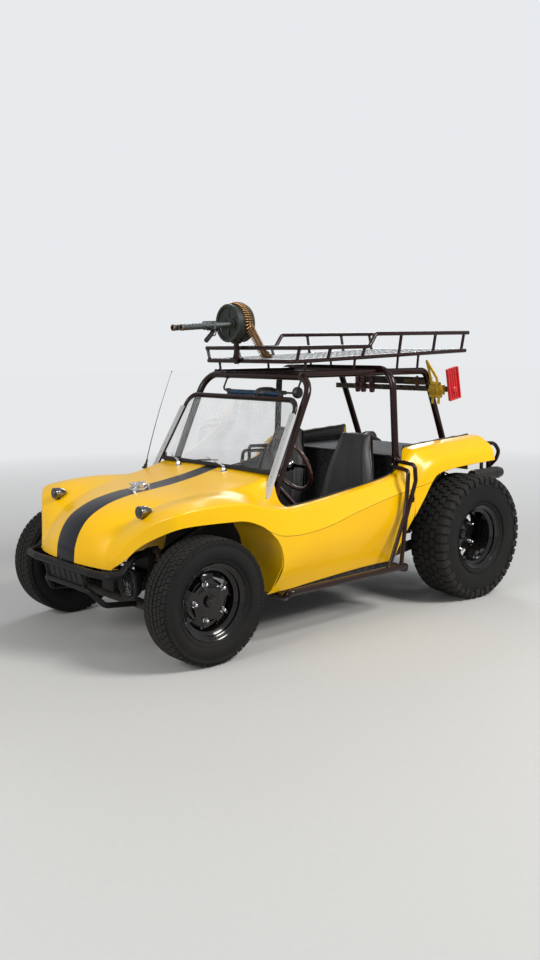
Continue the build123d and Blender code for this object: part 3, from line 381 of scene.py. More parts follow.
    def build(
        self, name: str, body: str, finishes: Sequence["Finish"], crease: float = 38.0,
        stands_for: Sequence[str] = (), wall: float = 0.0,
    ) -> bpy.types.Object:
        """Makes the Blender object and lets it ride.

        Args:
            name: The piece's name.
            body: The CAD body that it moves with.
            finishes: The finishes that the tones count through.
            crease: Angle in degrees above which an edge stays sharp.
            stands_for: CAD nodes that the piece replaces.
            wall: Thickness that an open sheet gets on its inner side, in millimetres.

        Returns:
            The finished object.
        """
        mesh = bpy.data.meshes.new(name)
        mesh.from_pydata([p * MM for p in self.points], [], self.faces)
        mesh.validate()
        for finish in finishes:
            mesh.materials.append(finish.material())
        if len(mesh.polygons) == len(self.tones):
            mesh.polygons.foreach_set("material_index", self.tones)
        work = bmesh.new()
        work.from_mesh(mesh)
        bmesh.ops.remove_doubles(work, verts=work.verts, dist=JOIN)
        if wall == 0.0:
            bmesh.ops.recalc_face_normals(work, faces=work.faces)
        work.to_mesh(mesh)
        work.free()
        piece = bpy.data.objects.new(name, mesh)
        bpy.context.scene.collection.objects.link(piece)
        if wall:
            skin = piece.modifiers.new("skin", "SOLIDIFY")
            skin.thickness = wall * MM
            skin.offset = -1.0
            skin.material_offset = 1 if len(finishes) > 1 else 0
            skin.use_even_offset = True
            bake(piece)
        piece.data.shade_smooth()
        piece.data.set_sharp_from_angle(angle=math.radians(crease))
        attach(piece, body)
        if stands_for:
            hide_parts(*stands_for)
        LOG.info("%s: %d faces on %s", name, len(piece.data.polygons), body)
        return piece


def bake(piece: bpy.types.Object) -> None:
    """Turns a piece's modifiers into its mesh."""
    bpy.context.view_layer.update()
    shown = piece.evaluated_get(bpy.context.evaluated_depsgraph_get())
    mesh = bpy.data.meshes.new_from_object(shown)
    piece.modifiers.clear()
    piece.data = mesh


class Wiring:
    """Adds and joins the nodes of one tree."""

    def __init__(self, tree: bpy.types.NodeTree) -> None:
        """Keeps the tree."""
        self.tree = tree

    def put(self, socket: bpy.types.NodeSocket, value: object) -> None:
        """Links a socket to a socket, or sets its constant."""
        if isinstance(value, bpy.types.NodeSocket):
            self.tree.links.new(value, socket)
        elif isinstance(value, tuple) and socket.type == "RGBA":
            socket.default_value = (*value, 1.0)
        else:
            socket.default_value = value

    def add(
        self, kind: str, values: dict[str | int, object] | None = None,
        **settings: object) -> bpy.types.Node:
        """Adds a node.

        Args:
            kind: The node's type name.
            values: Input sockets with a constant or the socket that feeds them.
            settings: Properties of the node itself.

        Returns:
            The node.
        """
        node = self.tree.nodes.new(kind)
        for key, value in settings.items():
            setattr(node, key, value)
        for key, value in (values or {}).items():
            self.put(node.inputs[key], value)
        return node

    def math(self, operation: str, a: object, b: object = 0.0, clamp: bool = False) -> bpy.types.NodeSocket:
        """One sum on two numbers."""
        node = self.add("ShaderNodeMath", {0: a, 1: b}, operation=operation, use_clamp=clamp)
        return node.outputs[0]

    def mix(self, factor: object, a: object, b: object) -> bpy.types.NodeSocket:
        """A blend from colour a to colour b."""
        node = self.add("ShaderNodeMix", {0: factor, 6: a, 7: b}, data_type="RGBA")
        return node.outputs[2]

    def ramp(self, value: object, low: float, high: float) -> bpy.types.NodeSocket:
        """Nought below low, one above high, and even between."""
        node = self.add(
            "ShaderNodeMapRange", {"Value": value, "From Min": low, "From Max": high}, clamp=True)
        return node.outputs["Result"]

    def noise(
        self, place: object, scale: object, detail: float = 3.0,
        rough: float = 0.55) -> bpy.types.NodeSocket:
        """Cloudy noise between nought and one."""
        node = self.add(
            "ShaderNodeTexNoise", {"Vector": place, "Scale": scale, "Detail": detail, "Roughness": rough})
        return node.outputs["Fac"]


class Effect(Enum):
    """The effects that several finishes share, each one node group."""

    MOTTLE = "mottle"
    EDGE_WEAR = "edge_wear"
    ROAD_DUST = "road_dust"
    GRAIN = "grain"
    RACING_STRIPE = "racing_stripe"

    def tree(self) -> bpy.types.NodeTree:
        """The effect's node group, built at its first use."""
        return bpy.data.node_groups.get(self.value) or EFFECT_BUILDERS[self](self.value)

    def place(self, wires: Wiring, values: dict[str, object]) -> bpy.types.Node:
        """Adds the effect to a material's tree with that material's own values."""
        node = wires.add("ShaderNodeGroup", node_tree=self.tree())
        for key, value in values.items():
            wires.put(node.inputs[key], value)
        return node


def open_group(
    name: str, inputs: Sequence[tuple[str, str, object]], outputs: Sequence[tuple[str, str]]
) -> tuple[Wiring, bpy.types.Node, bpy.types.Node]:
    """Starts a shader node group.

    Args:
        name: The group's name.
        inputs: Name, socket kind and default of each input.
        outputs: Name and socket kind of each output.

    Returns:
        The group's wiring, its input node and its output node.
    """
    tree = bpy.data.node_groups.new(name, "ShaderNodeTree")
    for label, kind, default in inputs:
        socket = tree.interface.new_socket(name=label, in_out="INPUT", socket_type=f"NodeSocket{kind}")
        if default is not None:
            socket.default_value = (*default, 1.0) if kind == "Color" else default
    for label, kind in outputs:
        tree.interface.new_socket(name=label, in_out="OUTPUT", socket_type=f"NodeSocket{kind}")
    wires = Wiring(tree)
    return wires, wires.add("NodeGroupInput"), wires.add("NodeGroupOutput")


def build_mottle(name: str) -> bpy.types.NodeTree:
    """Two close shades of one colour in soft clouds with finer specks."""
    wires, into, out = open_group(
        name,
        [("Place", "Vector", None), ("Base", "Color", (0.5, 0.5, 0.5)), ("Shade", "Color", (0.4, 0.4, 0.4)),
         ("Scale", "Float", 4.0), ("Amount", "Float", 0.5)],
        [("Color", "Color")])
    clouds = wires.noise(into.outputs["Place"], into.outputs["Scale"], 4.0)
    fine = wires.noise(into.outputs["Place"], wires.math("MULTIPLY", into.outputs["Scale"], 14.0), 2.0)
    soft = wires.math("MULTIPLY", wires.ramp(clouds, 0.35, 0.68), 0.75)
    both = wires.math("ADD", soft, wires.math("MULTIPLY", fine, 0.3))
    factor = wires.math("MULTIPLY", both, into.outputs["Amount"], clamp=True)
    wires.put(out.inputs["Color"], wires.mix(factor, into.outputs["Base"], into.outputs["Shade"]))
    return wires.tree


def build_edge_wear(name: str) -> bpy.types.NodeTree:
    """Rubbed edges: convex places, broken up by noise."""
    wires, into, out = open_group(
        name,
        [("Place", "Vector", None), ("Color", "Color", (0.5, 0.5, 0.5)), ("Worn", "Color", (0.6, 0.6, 0.6)),
         ("Scale", "Float", 60.0), ("Amount", "Float", 0.3)],
        [("Color", "Color")])
    shape = wires.add("ShaderNodeNewGeometry")
    edge = wires.ramp(shape.outputs["Pointiness"], 0.53, 0.62)
    specks = wires.ramp(wires.noise(into.outputs["Place"], into.outputs["Scale"], 5.0), 0.48, 0.62)
    mask = wires.math("MULTIPLY", wires.math("MULTIPLY", edge, specks), into.outputs["Amount"], clamp=True)
    wires.put(out.inputs["Color"], wires.mix(mask, into.outputs["Color"], into.outputs["Worn"]))
    return wires.tree


def build_road_dust(name: str) -> bpy.types.NodeTree:
    """Pale dust, thicker near the road and on faces that look up."""
    wires, into, out = open_group(
        name,
        [
            ("Place", "Vector", None), ("Color", "Color", (0.5, 0.5, 0.5)),
            ("Dust", "Color", (0.42, 0.33, 0.24)), ("Amount", "Float", 0.2), ("Reach", "Float", 0.7)],
        [("Color", "Color")])
    parts = wires.add("ShaderNodeSeparateXYZ", {0: into.outputs["Place"]})
    low = wires.math(
        "SUBTRACT", 1.0, wires.math("DIVIDE", parts.outputs["Z"], into.outputs["Reach"]), clamp=True)
    shape = wires.add("ShaderNodeNewGeometry")
    up = wires.add("ShaderNodeSeparateXYZ", {0: shape.outputs["Normal"]}).outputs["Z"]
    top = wires.math("MULTIPLY", wires.ramp(up, 0.3, 1.0), 0.3)
    clouds = wires.ramp(wires.noise(into.outputs["Place"], 9.0, 6.0), 0.3, 0.75)
    laid = wires.math("MULTIPLY", wires.math("ADD", low, top), clouds)
    mask = wires.math("MULTIPLY", laid, into.outputs["Amount"], clamp=True)
    wires.put(out.inputs["Color"], wires.mix(mask, into.outputs["Color"], into.outputs["Dust"]))
    return wires.tree


def build_grain(name: str) -> bpy.types.NodeTree:
    """Fine surface grain as a height, and a roughness that varies with it."""
    wires, into, out = open_group(
        name,
        [
            ("Place", "Vector", None), ("Scale", "Float", 300.0), ("Roughness", "Float", 0.5),
            ("Spread", "Float", 0.1)],
        [("Height", "Float"), ("Roughness", "Float")])
    fine = wires.noise(into.outputs["Place"], into.outputs["Scale"], 3.0)
    wide = wires.noise(into.outputs["Place"], wires.math("MULTIPLY", into.outputs["Scale"], 0.04), 4.0)
    swing = wires.math(
        "MULTIPLY", wires.math("SUBTRACT", wires.math("ADD", fine, wide), 1.0), into.outputs["Spread"])
    wires.put(out.inputs["Height"], fine)
    wires.put(out.inputs["Roughness"], wires.math("ADD", into.outputs["Roughness"], swing, clamp=True))
    return wires.tree


# The fine line along the waist as places along and up, and the window it is drawn in
WAIST_LINE = [
    (-716, 825), (-524, 776), (-248, 727), (0, 678), (328, 611), (569, 608), (690, 648), (760, 690)]
LINE_REACH, LINE_FOOT, LINE_HEIGHT = 800, 500, 400


def build_racing_stripe(name: str) -> bpy.types.NodeTree:
    """The tapering stripe on the nose and the fine line along the waist, by place on the car."""
    wires, into, out = open_group(
        name,
        [
            ("Place", "Vector", None), ("Color", "Color", (0.9, 0.5, 0.0)),
            ("Stripe", "Color", (0.01, 0.01, 0.012))],
        [("Color", "Color")])
    parts = wires.add("ShaderNodeSeparateXYZ", {0: into.outputs["Place"]})
    x, y, z = (parts.outputs[i] for i in "XYZ")
    half = wires.add(
        "ShaderNodeMapRange",
        {"Value": x, "From Min": 0.5, "From Max": 1.5, "To Min": 0.064, "To Max": 0.096}, clamp=True)
    ahead = wires.ramp(x, 0.49, 0.5)
    over = wires.math("SUBTRACT", half.outputs["Result"], wires.math("ABSOLUTE", y))
    band = wires.math("MULTIPLY", wires.ramp(over, 0.0, 0.0012), ahead)
    line = wires.add("ShaderNodeFloatCurve", {"Value": wires.ramp(x, -LINE_REACH * MM, LINE_REACH * MM)})
    curve = line.mapping.curves[0]
    places = [
        ((kx + LINE_REACH) / (2 * LINE_REACH), (kz - LINE_FOOT) / LINE_HEIGHT) for kx, kz in WAIST_LINE]
    curve.points[0].location = (0.0, places[0][1] + 0.06)
    curve.points[1].location = (1.0, places[-1][1] + 0.03)
    for place in places:
        curve.points.new(*place)
    line.mapping.update()
    height = wires.math(
        "ADD", wires.math("MULTIPLY", line.outputs["Value"], LINE_HEIGHT * MM), LINE_FOOT * MM)
    off = wires.math("ABSOLUTE", wires.math("SUBTRACT", z, height))
    outer = wires.ramp(wires.math("ABSOLUTE", y), 0.735, 0.74)
    thin = wires.math("MULTIPLY", wires.math("SUBTRACT", 1.0, wires.ramp(off, 0.0008, 0.0024)), outer)
    mask = wires.math("MAXIMUM", band, wires.math("MULTIPLY", thin, 0.75))
    wires.put(out.inputs["Color"], wires.mix(mask, into.outputs["Color"], into.outputs["Stripe"]))
    return wires.tree


EFFECT_BUILDERS: dict[Effect, Callable[[str], bpy.types.NodeTree]] = {
    Effect.MOTTLE: build_mottle,
    Effect.EDGE_WEAR: build_edge_wear,
    Effect.ROAD_DUST: build_road_dust,
    Effect.GRAIN: build_grain,
    Effect.RACING_STRIPE: build_racing_stripe,
}


@dataclass(frozen=True)
class Finish:
    """One surface: two close shades, its gloss, grain, worn edges and dust."""

    name: str
    slot: str
    colour: Colour
    shade: Colour
    roughness: float = 0.5
    spread: float = 0.12
    metallic: float = 0.0
    clouds: float = 5.0
    amount: float = 0.6
    grain: float = 500.0
    bump: float = 0.12
    depth: float = 0.0004
    wear: float = 0.25
    worn: Colour = (0.32, 0.31, 0.3)
    dust: float = 0.2
    coat: float = 0.0
    sheen: float = 0.0
    shine: float = 0.5

    def material(self) -> bpy.types.Material:
        """The Blender material, built at its first use."""
        title = f"dress_{self.name}"
        known = bpy.data.materials.get(title)
        if known:
            return known
        made = bpy.data.materials.new(title)
        made.use_nodes = True
        wires = Wiring(made.node_tree)
        place = wires.add("ShaderNodeTexCoord").outputs["Object"]
        shader = made.node_tree.nodes["Principled BSDF"]
        colour = self.tint(wires, place)
        wires.put(shader.inputs["Base Color"], colour)
        grain = Effect.GRAIN.place(
            wires, {"Place": place, "Scale": self.grain, "Roughness": self.roughness, "Spread": self.spread})
        wires.put(shader.inputs["Roughness"], grain.outputs["Roughness"])
        height = self.relief(wires, place, grain.outputs["Height"])
        bump = wires.add("ShaderNodeBump", {"Strength": self.bump, "Distance": self.depth, "Height": height})
        wires.put(shader.inputs["Normal"], bump.outputs["Normal"])
        shader.inputs["Metallic"].default_value = self.metallic
        shader.inputs["Specular IOR Level"].default_value = self.shine
        if self.coat:
            shader.inputs["Coat Weight"].default_value = self.coat
            shader.inputs["Coat Roughness"].default_value = 0.08
        if self.sheen:
            shader.inputs["Sheen Weight"].default_value = self.sheen
        return made

    def tint(self, wires: Wiring, place: bpy.types.NodeSocket) -> bpy.types.NodeSocket:
        """The colour with its mottling, worn edges and dust."""
        mottle = Effect.MOTTLE.place(
            wires,
            {
                "Place": place, "Base": self.colour, "Shade": self.shade, "Scale": self.clouds,
                "Amount": self.amount})
        wear = Effect.EDGE_WEAR.place(
            wires,
            {"Place": place, "Color": mottle.outputs["Color"], "Worn": self.worn, "Amount": self.wear})
        dust = Effect.ROAD_DUST.place(
            wires, {"Place": place, "Color": wear.outputs["Color"], "Amount": self.dust})
        return dust.outputs["Color"]

    def relief(
        self, wires: Wiring, place: bpy.types.NodeSocket, grain: bpy.types.NodeSocket
    ) -> bpy.types.NodeSocket:
        """The height that feeds the bump: the grain by itself."""
        return grain


@dataclass(frozen=True)
class StripedPaint(Finish):
    """The body's paint, with the dark stripe over the nose and the line along the waist."""

    stripe: Colour = (0.004, 0.004, 0.009)

    def tint(self, wires: Wiring, place: bpy.types.NodeSocket) -> bpy.types.NodeSocket:
        """The paint's colour under its stripe and dust."""
        mottle = Effect.MOTTLE.place(
            wires,
            {
                "Place": place, "Base": self.colour, "Shade": self.shade, "Scale": self.clouds,
                "Amount": self.amount})
        stripe = Effect.RACING_STRIPE.place(
            wires, {"Place": place, "Color": mottle.outputs["Color"], "Stripe": self.stripe})
        dust = Effect.ROAD_DUST.place(
            wires, {"Place": place, "Color": stripe.outputs["Color"], "Amount": self.dust})
        return dust.outputs["Color"]


@dataclass(frozen=True)
class LeatherFinish(Finish):
    """Creased leathercloth: a cell pattern for the grain and long soft wrinkles."""

    def relief(
        self, wires: Wiring, place: bpy.types.NodeSocket, grain: bpy.types.NodeSocket
    ) -> bpy.types.NodeSocket:
        """Cells with fine grain between, and slow wrinkles."""
        cells = wires.add(
            "ShaderNodeTexVoronoi", {"Vector": place, "Scale": 420.0}, feature="DISTANCE_TO_EDGE")
        pores = wires.ramp(cells.outputs["Distance"], 0.0, 0.25)
        wrinkles = wires.noise(place, 22.0, 5.0)
        return wires.math("ADD", wires.math("ADD", pores, wires.math("MULTIPLY", wrinkles, 2.0)), grain)


@dataclass(frozen=True)
class BrushedFinish(Finish):
    """Metal with fine streaks along one direction."""

    stretch: Point = (1.0, 30.0, 30.0)

    def relief(
        self, wires: Wiring, place: bpy.types.NodeSocket, grain: bpy.types.NodeSocket
    ) -> bpy.types.NodeSocket:
        """Streaks under the grain."""
        drawn = wires.add("ShaderNodeMapping", {"Vector": place, "Scale": self.stretch})
        return wires.math(
            "ADD", wires.noise(drawn.outputs["Vector"], 60.0, 4.0), wires.math("MULTIPLY", grain, 0.4))


@dataclass(frozen=True)
class ClearFinish(Finish):
    """Clear glass or plastic, with specks of dust."""

    clear: float = 1.0
    bend: float = 1.45
    thin: float = 0.0

    def material(self) -> bpy.types.Material:
        """The glass material, built at its first use."""
        known = bpy.data.materials.get(f"dress_{self.name}")
        made = super().material()
        if known:
            return made
        shader = made.node_tree.nodes["Principled BSDF"]
        shader.inputs["Transmission Weight"].default_value = self.clear
        shader.inputs["IOR"].default_value = self.bend
        if self.thin:
            wires = Wiring(made.node_tree)
            place = wires.add("ShaderNodeTexCoord").outputs["Object"]
            streaks = wires.ramp(wires.noise(place, 6.0, 6.0), 0.3, 0.8)
            wires.put(
                shader.inputs["Alpha"], wires.math("ADD", wires.math("MULTIPLY", streaks, 0.12), self.thin))
        return made


YELLOW = StripedPaint(
    "body_yellow", "body_paint", (0.96, 0.56, 0.0), (0.93, 0.47, 0.0), roughness=0.3, spread=0.08,
    clouds=2.2, grain=140.0, bump=0.05, depth=0.0006, wear=0.0, dust=0.035, coat=0.14, shine=0.3)
# Black of the mouldings' undersides; its use for the screen strips' holes is painted shade in dark discs
UNDERSIDE_AND_HOLE_SHADE = Finish(
    "underside_black_and_hole_shade", "deck_black", (0.012, 0.012, 0.012), (0.03, 0.027, 0.024), roughness=0.8, grain=160.0,
    bump=0.5, depth=0.001, dust=0.2, shine=0.25)
DECK = Finish(
    "deck_black", "deck_black", (0.018, 0.018, 0.019), (0.03, 0.03, 0.031), roughness=0.68, grain=260.0,
    bump=0.35, depth=0.0006, dust=0.04, wear=0.1, shine=0.12)
FRAME = Finish(
    "frame_maroon", "frame_paint", (0.017, 0.0036, 0.0034), (0.010, 0.0026, 0.0027), roughness=0.24,
    clouds=9.0, grain=260.0, bump=0.08, wear=0.1, worn=(0.06, 0.035, 0.03), dust=0.02, coat=0.2, shine=0.28)
RUBBER = Finish(
    "rubber_black", "rubber_black", (0.014, 0.014, 0.014), (0.024, 0.023, 0.022), roughness=0.62,
    grain=420.0, bump=0.3, dust=0.1, wear=0.0, shine=0.3)
TYRE = Finish(
    "tyre_rubber", "tyre_black", (0.0085, 0.0087, 0.0092), (0.014, 0.014, 0.0143), roughness=0.7,
    grain=380.0, bump=0.35, depth=0.0006, clouds=7.0, dust=0.02, wear=0.0, shine=0.18)
TREAD = Finish(
    "tread_rubber", "tyre_black", (0.013, 0.013, 0.013), (0.022, 0.021, 0.020), roughness=0.85, grain=300.0,
    bump=0.5, depth=0.0008, clouds=12.0, dust=0.04, wear=0.3, worn=(0.036, 0.035, 0.034),
    shine=0.25)
WHEEL = Finish(
    "wheel_black", "wheel_black", (0.0035, 0.0028, 0.0035), (0.007, 0.005, 0.006), roughness=0.14,
    spread=0.05, grain=200.0, bump=0.05, wear=0.08, dust=0.02, coat=0.2, shine=0.36)
CHROME = Finish(
    "chrome", "chrome_trim", (0.78, 0.78, 0.8), (0.6, 0.6, 0.62), roughness=0.08, spread=0.06, metallic=1.0,
    grain=300.0, bump=0.03, wear=0.1, dust=0.1)
DARK_CHROME = Finish(
    "dark_chrome", "chrome_trim", (0.22, 0.21, 0.205), (0.12, 0.115, 0.11), roughness=0.15, metallic=1.0,
    bump=0.05, wear=0.2, dust=0.15)
ALUMINIUM = BrushedFinish(
    "plate_aluminium", "plate_bright", (0.56, 0.57, 0.58), (0.42, 0.43, 0.44), roughness=0.34, metallic=0.9,
    bump=0.14, wear=0.2, worn=(0.8, 0.8, 0.8), dust=0.2)
BRIGHT = BrushedFinish(
    "strip_bright", "plate_bright", (0.62, 0.63, 0.65), (0.50, 0.51, 0.53), roughness=0.3, metallic=0.35,
    bump=0.08, wear=0.1, worn=(0.85, 0.85, 0.86), dust=0.05)
PLATE = BrushedFinish(
    "rack_plate", "plate_bright", (0.20, 0.205, 0.22), (0.14, 0.145, 0.155), roughness=0.62, metallic=0.2,
    bump=0.14, wear=0.2, worn=(0.5, 0.5, 0.52), dust=0.12, shine=0.3)
DRUM = Finish(
    "drum_grey", "drum_paint", (0.020, 0.026, 0.022), (0.012, 0.016, 0.014), roughness=0.42, grain=240.0,
    bump=0.2, wear=0.5, worn=(0.17, 0.18, 0.17), dust=0.2)
PIPE = BrushedFinish(
    "pipe_steel", "drum_paint", (0.13, 0.15, 0.15), (0.07, 0.085, 0.085), roughness=0.4, metallic=0.75,
    bump=0.15, wear=0.4, worn=(0.4, 0.4, 0.4), dust=0.2)
BRASS = Finish(
    "belt_brass", "belt_brass", (0.36, 0.19, 0.065), (0.17, 0.085, 0.035), roughness=0.34, metallic=0.9,
    clouds=30.0, wear=0.5, worn=(0.7, 0.45, 0.2), dust=0.1)
STEEL = Finish(
    "jack_steel", "jack_steel", (0.035, 0.03, 0.026), (0.075, 0.045, 0.03), roughness=0.5, metallic=0.5,
    clouds=14.0, bump=0.3, wear=0.6, worn=(0.2, 0.17, 0.14), dust=0.3)
RUNNER_YELLOW = Finish(
    "jack_yellow", "jack_yellow", (0.80, 0.50, 0.01), (0.5, 0.29, 0.012), roughness=0.35, clouds=12.0,
    bump=0.15, wear=0.5, worn=(0.2, 0.14, 0.08), dust=0.2, coat=0.2)
CASTING = Finish(
    "jack_casting", "jack_yellow", (0.10, 0.055, 0.012), (0.05, 0.03, 0.012), roughness=0.45, clouds=14.0,
    bump=0.25, wear=0.5, worn=(0.45, 0.28, 0.03), dust=0.2)
RED = Finish(
    "jack_red", "jack_red", (0.62, 0.012, 0.018), (0.42, 0.010, 0.014), roughness=0.38, clouds=10.0,
    bump=0.15, wear=0.4, worn=(0.3, 0.08, 0.07), dust=0.1, coat=0.2)
CLAMP_RED = Finish(
    "clamp_red", "jack_red", (0.13, 0.014, 0.012), (0.07, 0.012, 0.011), roughness=0.35, clouds=14.0,
    wear=0.4, worn=(0.3, 0.2, 0.17), dust=0.1, coat=0.3)
VINYL = LeatherFinish(
    "seat_vinyl", "seat_vinyl", (0.016, 0.016, 0.017), (0.03, 0.029, 0.03), roughness=0.42, clouds=8.0,
    bump=0.35, depth=0.0006, wear=0.15, worn=(0.07, 0.07, 0.07), dust=0.15, sheen=0.12)
PIPING = Finish(
    "seat_piping", "seat_vinyl", (0.022, 0.022, 0.023), (0.04, 0.04, 0.041), roughness=0.38, bump=0.2,
    dust=0.1)
MIRROR_BACK = Finish(
    "mirror_black", "mirror_dark", (0.014, 0.014, 0.015), (0.024, 0.024, 0.026), roughness=0.4, bump=0.15,
    dust=0.1)
# Painted reflection: the blue is sky seen in the mirror, on its own glass and on the patches on the case's
# front
MIRROR_GLASS_AND_SKY_GLINT = Finish(
    "mirror_painted_sky_reflection", "mirror_dark", (0.10, 0.22, 0.42), (0.07, 0.15, 0.30), roughness=0.06, spread=0.03,
    metallic=0.9, bump=0.02, wear=0.0, dust=0.05)
ENGINE = Finish(
    "engine_metal", "engine_metal", (0.19, 0.185, 0.175), (0.10, 0.09, 0.08), roughness=0.5, metallic=0.7,
    clouds=16.0, bump=0.4, depth=0.0008, wear=0.3, dust=0.5)
SHROUD = Finish(
    "shroud_black", "engine_metal", (0.007, 0.007, 0.0075), (0.014, 0.0135, 0.013), roughness=0.45,
    bump=0.15, wear=0.1, worn=(0.04, 0.04, 0.04), dust=0.02, shine=0.16)
AXLE = Finish(
    "axle_black", "axle_black", (0.008, 0.008, 0.008), (0.016, 0.0145, 0.0135), roughness=0.55, clouds=12.0,
    bump=0.35, wear=0.2, worn=(0.10, 0.095, 0.09), dust=0.15, shine=0.35)
WOOD = BrushedFinish(
    "rim_wood", "rim_wood", (0.050, 0.017, 0.010), (0.026, 0.009, 0.006), roughness=0.28, clouds=20.0,
    bump=0.1, wear=0.15, worn=(0.2, 0.1, 0.05), dust=0.05, coat=0.5)
EXHAUST = Finish(
    "exhaust_steel", "exhaust_steel", (0.018, 0.017, 0.016), (0.030, 0.024, 0.019), roughness=0.42,
    metallic=0.3, clouds=18.0, bump=0.25, wear=0.2, worn=(0.12, 0.10, 0.085), dust=0.15)
LENS_RED = Finish(
    "lamp_red", "lamp_red", (0.42, 0.008, 0.008), (0.26, 0.006, 0.006), roughness=0.12, bump=0.1, grain=90.0,
    wear=0.0, dust=0.08, coat=0.7)
LENS = Finish(
    "lamp_lens", "chrome_trim", (0.035, 0.037, 0.042), (0.02, 0.021, 0.025), roughness=0.08, metallic=0.2,
    bump=0.2, grain=80.0, depth=0.001, wear=0.0, dust=0.05, coat=0.6)
GLASS = ClearFinish(
    "screen_glass", "glass_clear", (0.86, 0.9, 0.9), (0.8, 0.84, 0.84), roughness=0.03, spread=0.03,
    bump=0.01, wear=0.0, dust=0.04, thin=0.10)
# Glossy black of gauge faces, horn button and knob; its use for holes in the pipe jackets and steering
# spokes is painted shade in dark discs
GAUGE_AND_HOLE_SHADE = Finish(
    "gauge_face", "mirror_dark", (0.012, 0.012, 0.013), (0.02, 0.02, 0.021), roughness=0.3, bump=0.05,
    wear=0.0, dust=0.05, coat=0.5)
SPRING = Finish(
    "spring_red", "axle_black", (0.03, 0.02, 0.018), (0.07, 0.05, 0.04), roughness=0.4, bump=0.2, wear=0.3,
    dust=0.5)


# Nose stations: centre x, centre z, half width, drop at the edge of the raised hood
HOOD_ROWS = [
    (1552, 505, 322, 40),
    (1543, 588, 328, 58),
    (1513, 668, 331, 72),
    (1460, 734, 336, 76),
    (1382, 780, 343, 62),
    (1284, 814, 352, 45),
    (1151, 838, 376, 24),
    (1040, 848, 402, 12),
    (909, 860, 432, 6),
    (800, 875, 472, 8),
    (690, 893, 526, 14),
    (598, 912, 537, 13),
    (505, 932, 548, 12),
]

# Front fender stations: x, then crown, crease and lower edge as (y, z)
FENDER_ROWS = [
    (1490, (350, 562), (378, 545), (380, 505)),
    (1448, (385, 640), (447, 625), (454, 560)),
    (1408, (425, 695), (518, 703), (525, 630)),
    (1356, (480, 757), (612, 770), (619, 690)),
    (1290, (560, 822), (703, 812), (711, 736)),
    (1200, (590, 852), (720, 828), (728, 744)),
    (1100, (600, 862), (722, 832), (731, 742)),
    (980, (600, 866), (722, 832), (734, 737)),
    (860, (600, 858), (726, 824), (741, 728)),
    (760, (610, 838), (726, 800), (746, 692)),
    (690, (620, 815), (722, 778), (750, 648)),
    (598, (606, 793), (710, 760), (751, 618)),
    (505, (592, 772), (699, 746), (752, 608)),
]

# The side runs from the windscreen's foot to the rear fender
SCREEN_FOOT_X = 505
FENDER_START_X = -480

# Side stations: x, heights of coaming, waist, tuck and bottom edge, then waist y
SIDE_ROWS = [
    (720, 792, 668, 425, 282, 750),
    (690, 778, 648, 430, 284, 750),
    (600, 757, 620, 446, 286, 751),
    (505, 746, 608, 462, 288, 752),
    (340, 753, 612, 496, 298, 752),
    (0, 790, 678, 536, 314, 752),
    (-200, 815, 717, 562, 318, 753),
    (-340, 838, 743, 588, 316, 757),
    (-410, 862, 754, 598, 314, 761),
    (-440, 890, 760, 602, 314, 764),
    (-480, 938, 768, 606, 312, 768),
]

# Rear fender stations: x, then inner foot, inner edge, crown, skirt and lower edge as (y, z)
REAR_ROWS = [
    (-480, (640, 880), (650, 944), (699, 938), (768, 768), (772, 590)),
    (-545, (590, 935), (600, 996), (694, 989), (781, 850), (790, 696)),
    (-600, (590, 935), (598, 1006), (692, 998), (784, 900), (798, 782)),
    (-655, (590, 935), (598, 1012), (690, 1005), (786, 925), (802, 836)),
    (-800, (590, 935), (598, 1020), (690, 1013), (786, 941), (804, 861)),
    (-1000, (590, 935), (598, 1028), (690, 1021), (786, 951), (804, 871)),
    (-1235, (590, 935), (598, 1038), (684, 1031), (784, 966), (804, 878)),
]


def through(a: Flat, b: Flat, c: Flat) -> tuple[float, float, float]:
    """Middle and radius of the circle through three points."""
    d = 2 * (a[0] * (b[1] - c[1]) + b[0] * (c[1] - a[1]) + c[0] * (a[1] - b[1]))
    p, q, r = (x * x + y * y for x, y in (a, b, c))
    x = (p * (b[1] - c[1]) + q * (c[1] - a[1]) + r * (a[1] - b[1])) / d
    y = (p * (c[0] - b[0]) + q * (a[0] - c[0]) + r * (b[0] - a[0])) / d
    return x, y, math.hypot(a[0] - x, a[1] - y)


